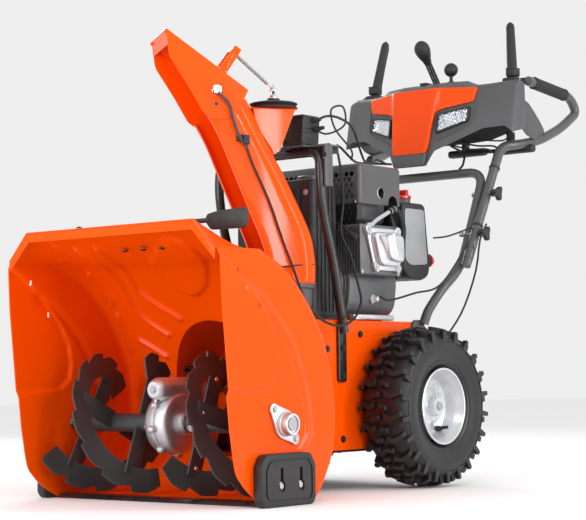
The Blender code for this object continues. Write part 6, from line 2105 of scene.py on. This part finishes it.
def makeSpeedLever():
    start, end = Vector((0, 0.400, 1.034)), Vector((0, 0.350, 1.096))
    aim = (end - start).normalized()
    turnTo = Vector((0, 0, 1)).rotation_difference(aim).to_matrix()
    bar = box((-0.0098, -0.0030, 0), (0.0098, 0.0030, 0.074), 0.0012, 2)
    slotCuts = [box((x - 0.0024, -0.01, 0.008), (x + 0.0024, 0.01, 0.066)) for x in (-0.0042, 0.0042)]
    barMesh = carve(bar, join(*slotCuts))
    flat = bmeshOf(barMesh)
    bmesh.ops.rotate(flat, verts=flat.verts, cent=(0, 0, 0), matrix=turnTo)
    shift(flat, start)
    profile = [(0, -0.0035), (0.0092, -0.0035), (0.0100, -0.002), (0.0102, 0.003)]
    for k in range(1, 14):
        t = k / 13
        profile.append((0.0102 + 0.0078 * math.sin(t * math.pi / 2), 0.003 + 0.031 * t))
    for k in range(1, 10):
        a = math.radians(90 * k / 9)
        profile.append((0.018 * math.cos(a), 0.034 + 0.0215 * math.sin(a)))
    knobBody = lathe([(max(r, 0) * 1.14, t * 1.08) for r, t in profile], "z", (0, 0, 0), 32)
    bmesh.ops.rotate(knobBody, verts=knobBody.verts, cent=(0, 0, 0), matrix=turnTo)
    shift(knobBody, (0, 0.352, 1.094))
    return join(flat, knobBody)


keep("speedLever", makeSpeedLever(), "blackPlastic", "speed_lever", ["speed_lever"])


def makeJoystick():
    ball = []
    for k in range(19):
        a = math.radians(-72 + 162 * k / 18)
        ball.append((max(0.0, 0.0184 * math.cos(a)), 1.0680 + 0.0184 * math.sin(a)))
    ball = [(0, ball[0][1])] + ball
    ball[-1] = (0, 1.0864)
    stick = [(0, 1.0362), (0.0050, 1.0362), (0.0046, 1.045), (0.0050, 1.052), (0, 1.052)]
    return join(lathe(ball, "z", (0.055, 0.382, 0), 32), lathe(stick, "z", (0.055, 0.382, 0), 20))


keep("chuteStick", makeJoystick(), "blackPlastic", "joystick", ["joystick"])
boots = []
for k in range(3):
    z = 1.0290 + 0.0024 * k
    fold = [(0.0068, z), (0.0170 - 0.003 * k, z), (0.0155 - 0.003 * k, z + 0.0022), (0.0068, z + 0.0022)]
    boots.append(lathe(fold, "z", (0.055, 0.382, 0), 32))
gate = carve(box((-0.011, 0.330, 1.0275), (0.011, 0.432, 1.0335), 0.002, 2),
             box((-0.006, 0.336, 1.02), (0.006, 0.426, 1.04)))
keep("stickBoot", join(*boots), "rubber", "chassis")
keep("speedGate", gate, "blackPlastic", "chassis")

# heater bar and cables under the console
bars = [box((0.000, 0.438, 0.842), (0.118, 0.462, 0.862), 0.008, 4),
        box((0.150, 0.438, 0.838), (0.2640, 0.462, 0.858), 0.008, 4),
        box((0.110, 0.444, 0.846), (0.156, 0.456, 0.856), 0.003, 2),
        box((0.194, 0.425, 0.852), (0.204, 0.455, 0.895), 0.002, 2),
        box((0.052, 0.430, 0.856), (0.062, 0.456, 0.890), 0.002, 2)]
keep("consoleTray", join(*bars), "blackPlastic", "chassis")
looms = {
    "first": ([(0.060, 0.345, 0.868), (0.110, 0.375, 0.852), (0.160, 0.392, 0.848), (0.186, 0.385, 0.820),
               (0.192, 0.350, 0.760), (0.194, 0.310, 0.690), (0.196, 0.262, 0.640), (0.205, 0.2147, 0.627),
               (0.175, 0.1738, 0.6092), (0.152, 0.142, 0.604)], 0.0022),
    "second": ([(0.080, 0.350, 0.872), (0.130, 0.385, 0.860), (0.180, 0.400, 0.852), (0.196, 0.372, 0.800),
                (0.200, 0.325, 0.715), (0.204, 0.262, 0.640), (0.205, 0.1993, 0.5738), (0.180, 0.127, 0.4852),
                (0.165, 0.0403, 0.4635), (0.150, -0.0435, 0.4448), (0.141, -0.070, 0.452)], 0.0025),
    "third": ([(0.100, 0.355, 0.876), (0.150, 0.375, 0.872), (0.200, 0.395, 0.868), (0.215, 0.402, 0.880),
               (0.222, 0.400, 0.905)], 0.0022),
    "fourth": ([(0.070, 0.350, 0.862), (0.090, 0.380, 0.842), (0.102, 0.360, 0.812), (0.100, 0.345, 0.797)], 0.0030),
    "loop": ([(0.122, -0.300, 0.838), (0.150, -0.285, 0.822), (0.185, -0.262, 0.842), (0.178, -0.258, 0.885),
              (0.150, -0.266, 0.880), (0.158, -0.262, 0.835), (0.168, -0.215, 0.790), (0.150, -0.190, 0.770)], 0.0022),
}
for name, (line, radius) in looms.items():
    keep(f"{name}Cable", sweep(smoothPath(line, 8), radius, 10), "rubber", "chassis")
tieSpots = [((0.2105, 0.3395, 0.790), 0.0142), ((0.2105, 0.255, 0.637), 0.0142)]
ties = []
for (x, y, z), r in tieSpots:
    way = Vector((0, 0.174, 0.316)).normalized()
    for s in (1, -1):
        ties.append(sweep([Vector((s * x, y, z)) - way * 0.0028, Vector((s * x, y, z)) + way * 0.0028], r, 24))
keep("cableTies", join(*ties), "blackPlastic", "chassis")
for node in ("deflector_cable", "rotation_cable", "drive_cable"):
    dress(node, "rubber")
print("levers and cables ready")

# clearing stick on the housing's roof
stick = {"y": -0.745, "z": 0.5912, "radius": 0.0052}


def makeStick():
    y, z = stick["y"], stick["z"]
    rod = sweep([Vector((-0.186, y, z)), Vector((0.196, y, z))], stick["radius"], 20)
    shapes = [rod]
    end = []
    for k in range(13):
        a = math.pi * k / 12
        end.append((max(0.0, 0.0088 * math.sin(a)), -0.190 - 0.0095 * math.cos(a)))
    end[0], end[-1] = (0, -0.1995), (0, -0.1805)
    shapes.append(lathe(end, "x", (0, y, z + 0.002), 24))
    blade = [(0.184, 0.590), (0.200, 0.5705), (0.290, 0.5695), (0.2975, 0.580), (0.2975, 0.606), (0.288, 0.6125),
             (0.215, 0.6085), (0.190, 0.604)]
    shapes.append(prism(roundOutline(blade, 0.006, 4), "y", y - 0.0038, y + 0.0038, 0.0012, 2))
    for x in (0.215, 0.235, 0.255, 0.275):
        shapes.append(box((x - 0.0012, y - 0.0040, 0.577), (x + 0.0012, y + 0.0040, 0.604), 0.0004, 1))
    for x in (-0.150, 0.100):
        shapes.append(box((x, y - 0.0065, 0.5475), (x + 0.016, y + 0.0065, z + 0.004), 0.0022, 3))
    return join(*shapes)


keep("clearingStick", makeStick(), "blackPlastic", "cleanout_tool", ["cleanout_tool"])
clips = [box((x - 0.012, stick["y"] - 0.012, 0.5448), (x + 0.028, stick["y"] + 0.012, 0.5470), 0.0006, 1)
         for x in (-0.150, 0.100)]
keep("stickClips", join(*clips), "blackPaint", "chassis")
print("clearing stick ready")

print("pieces made:", pieceCount)
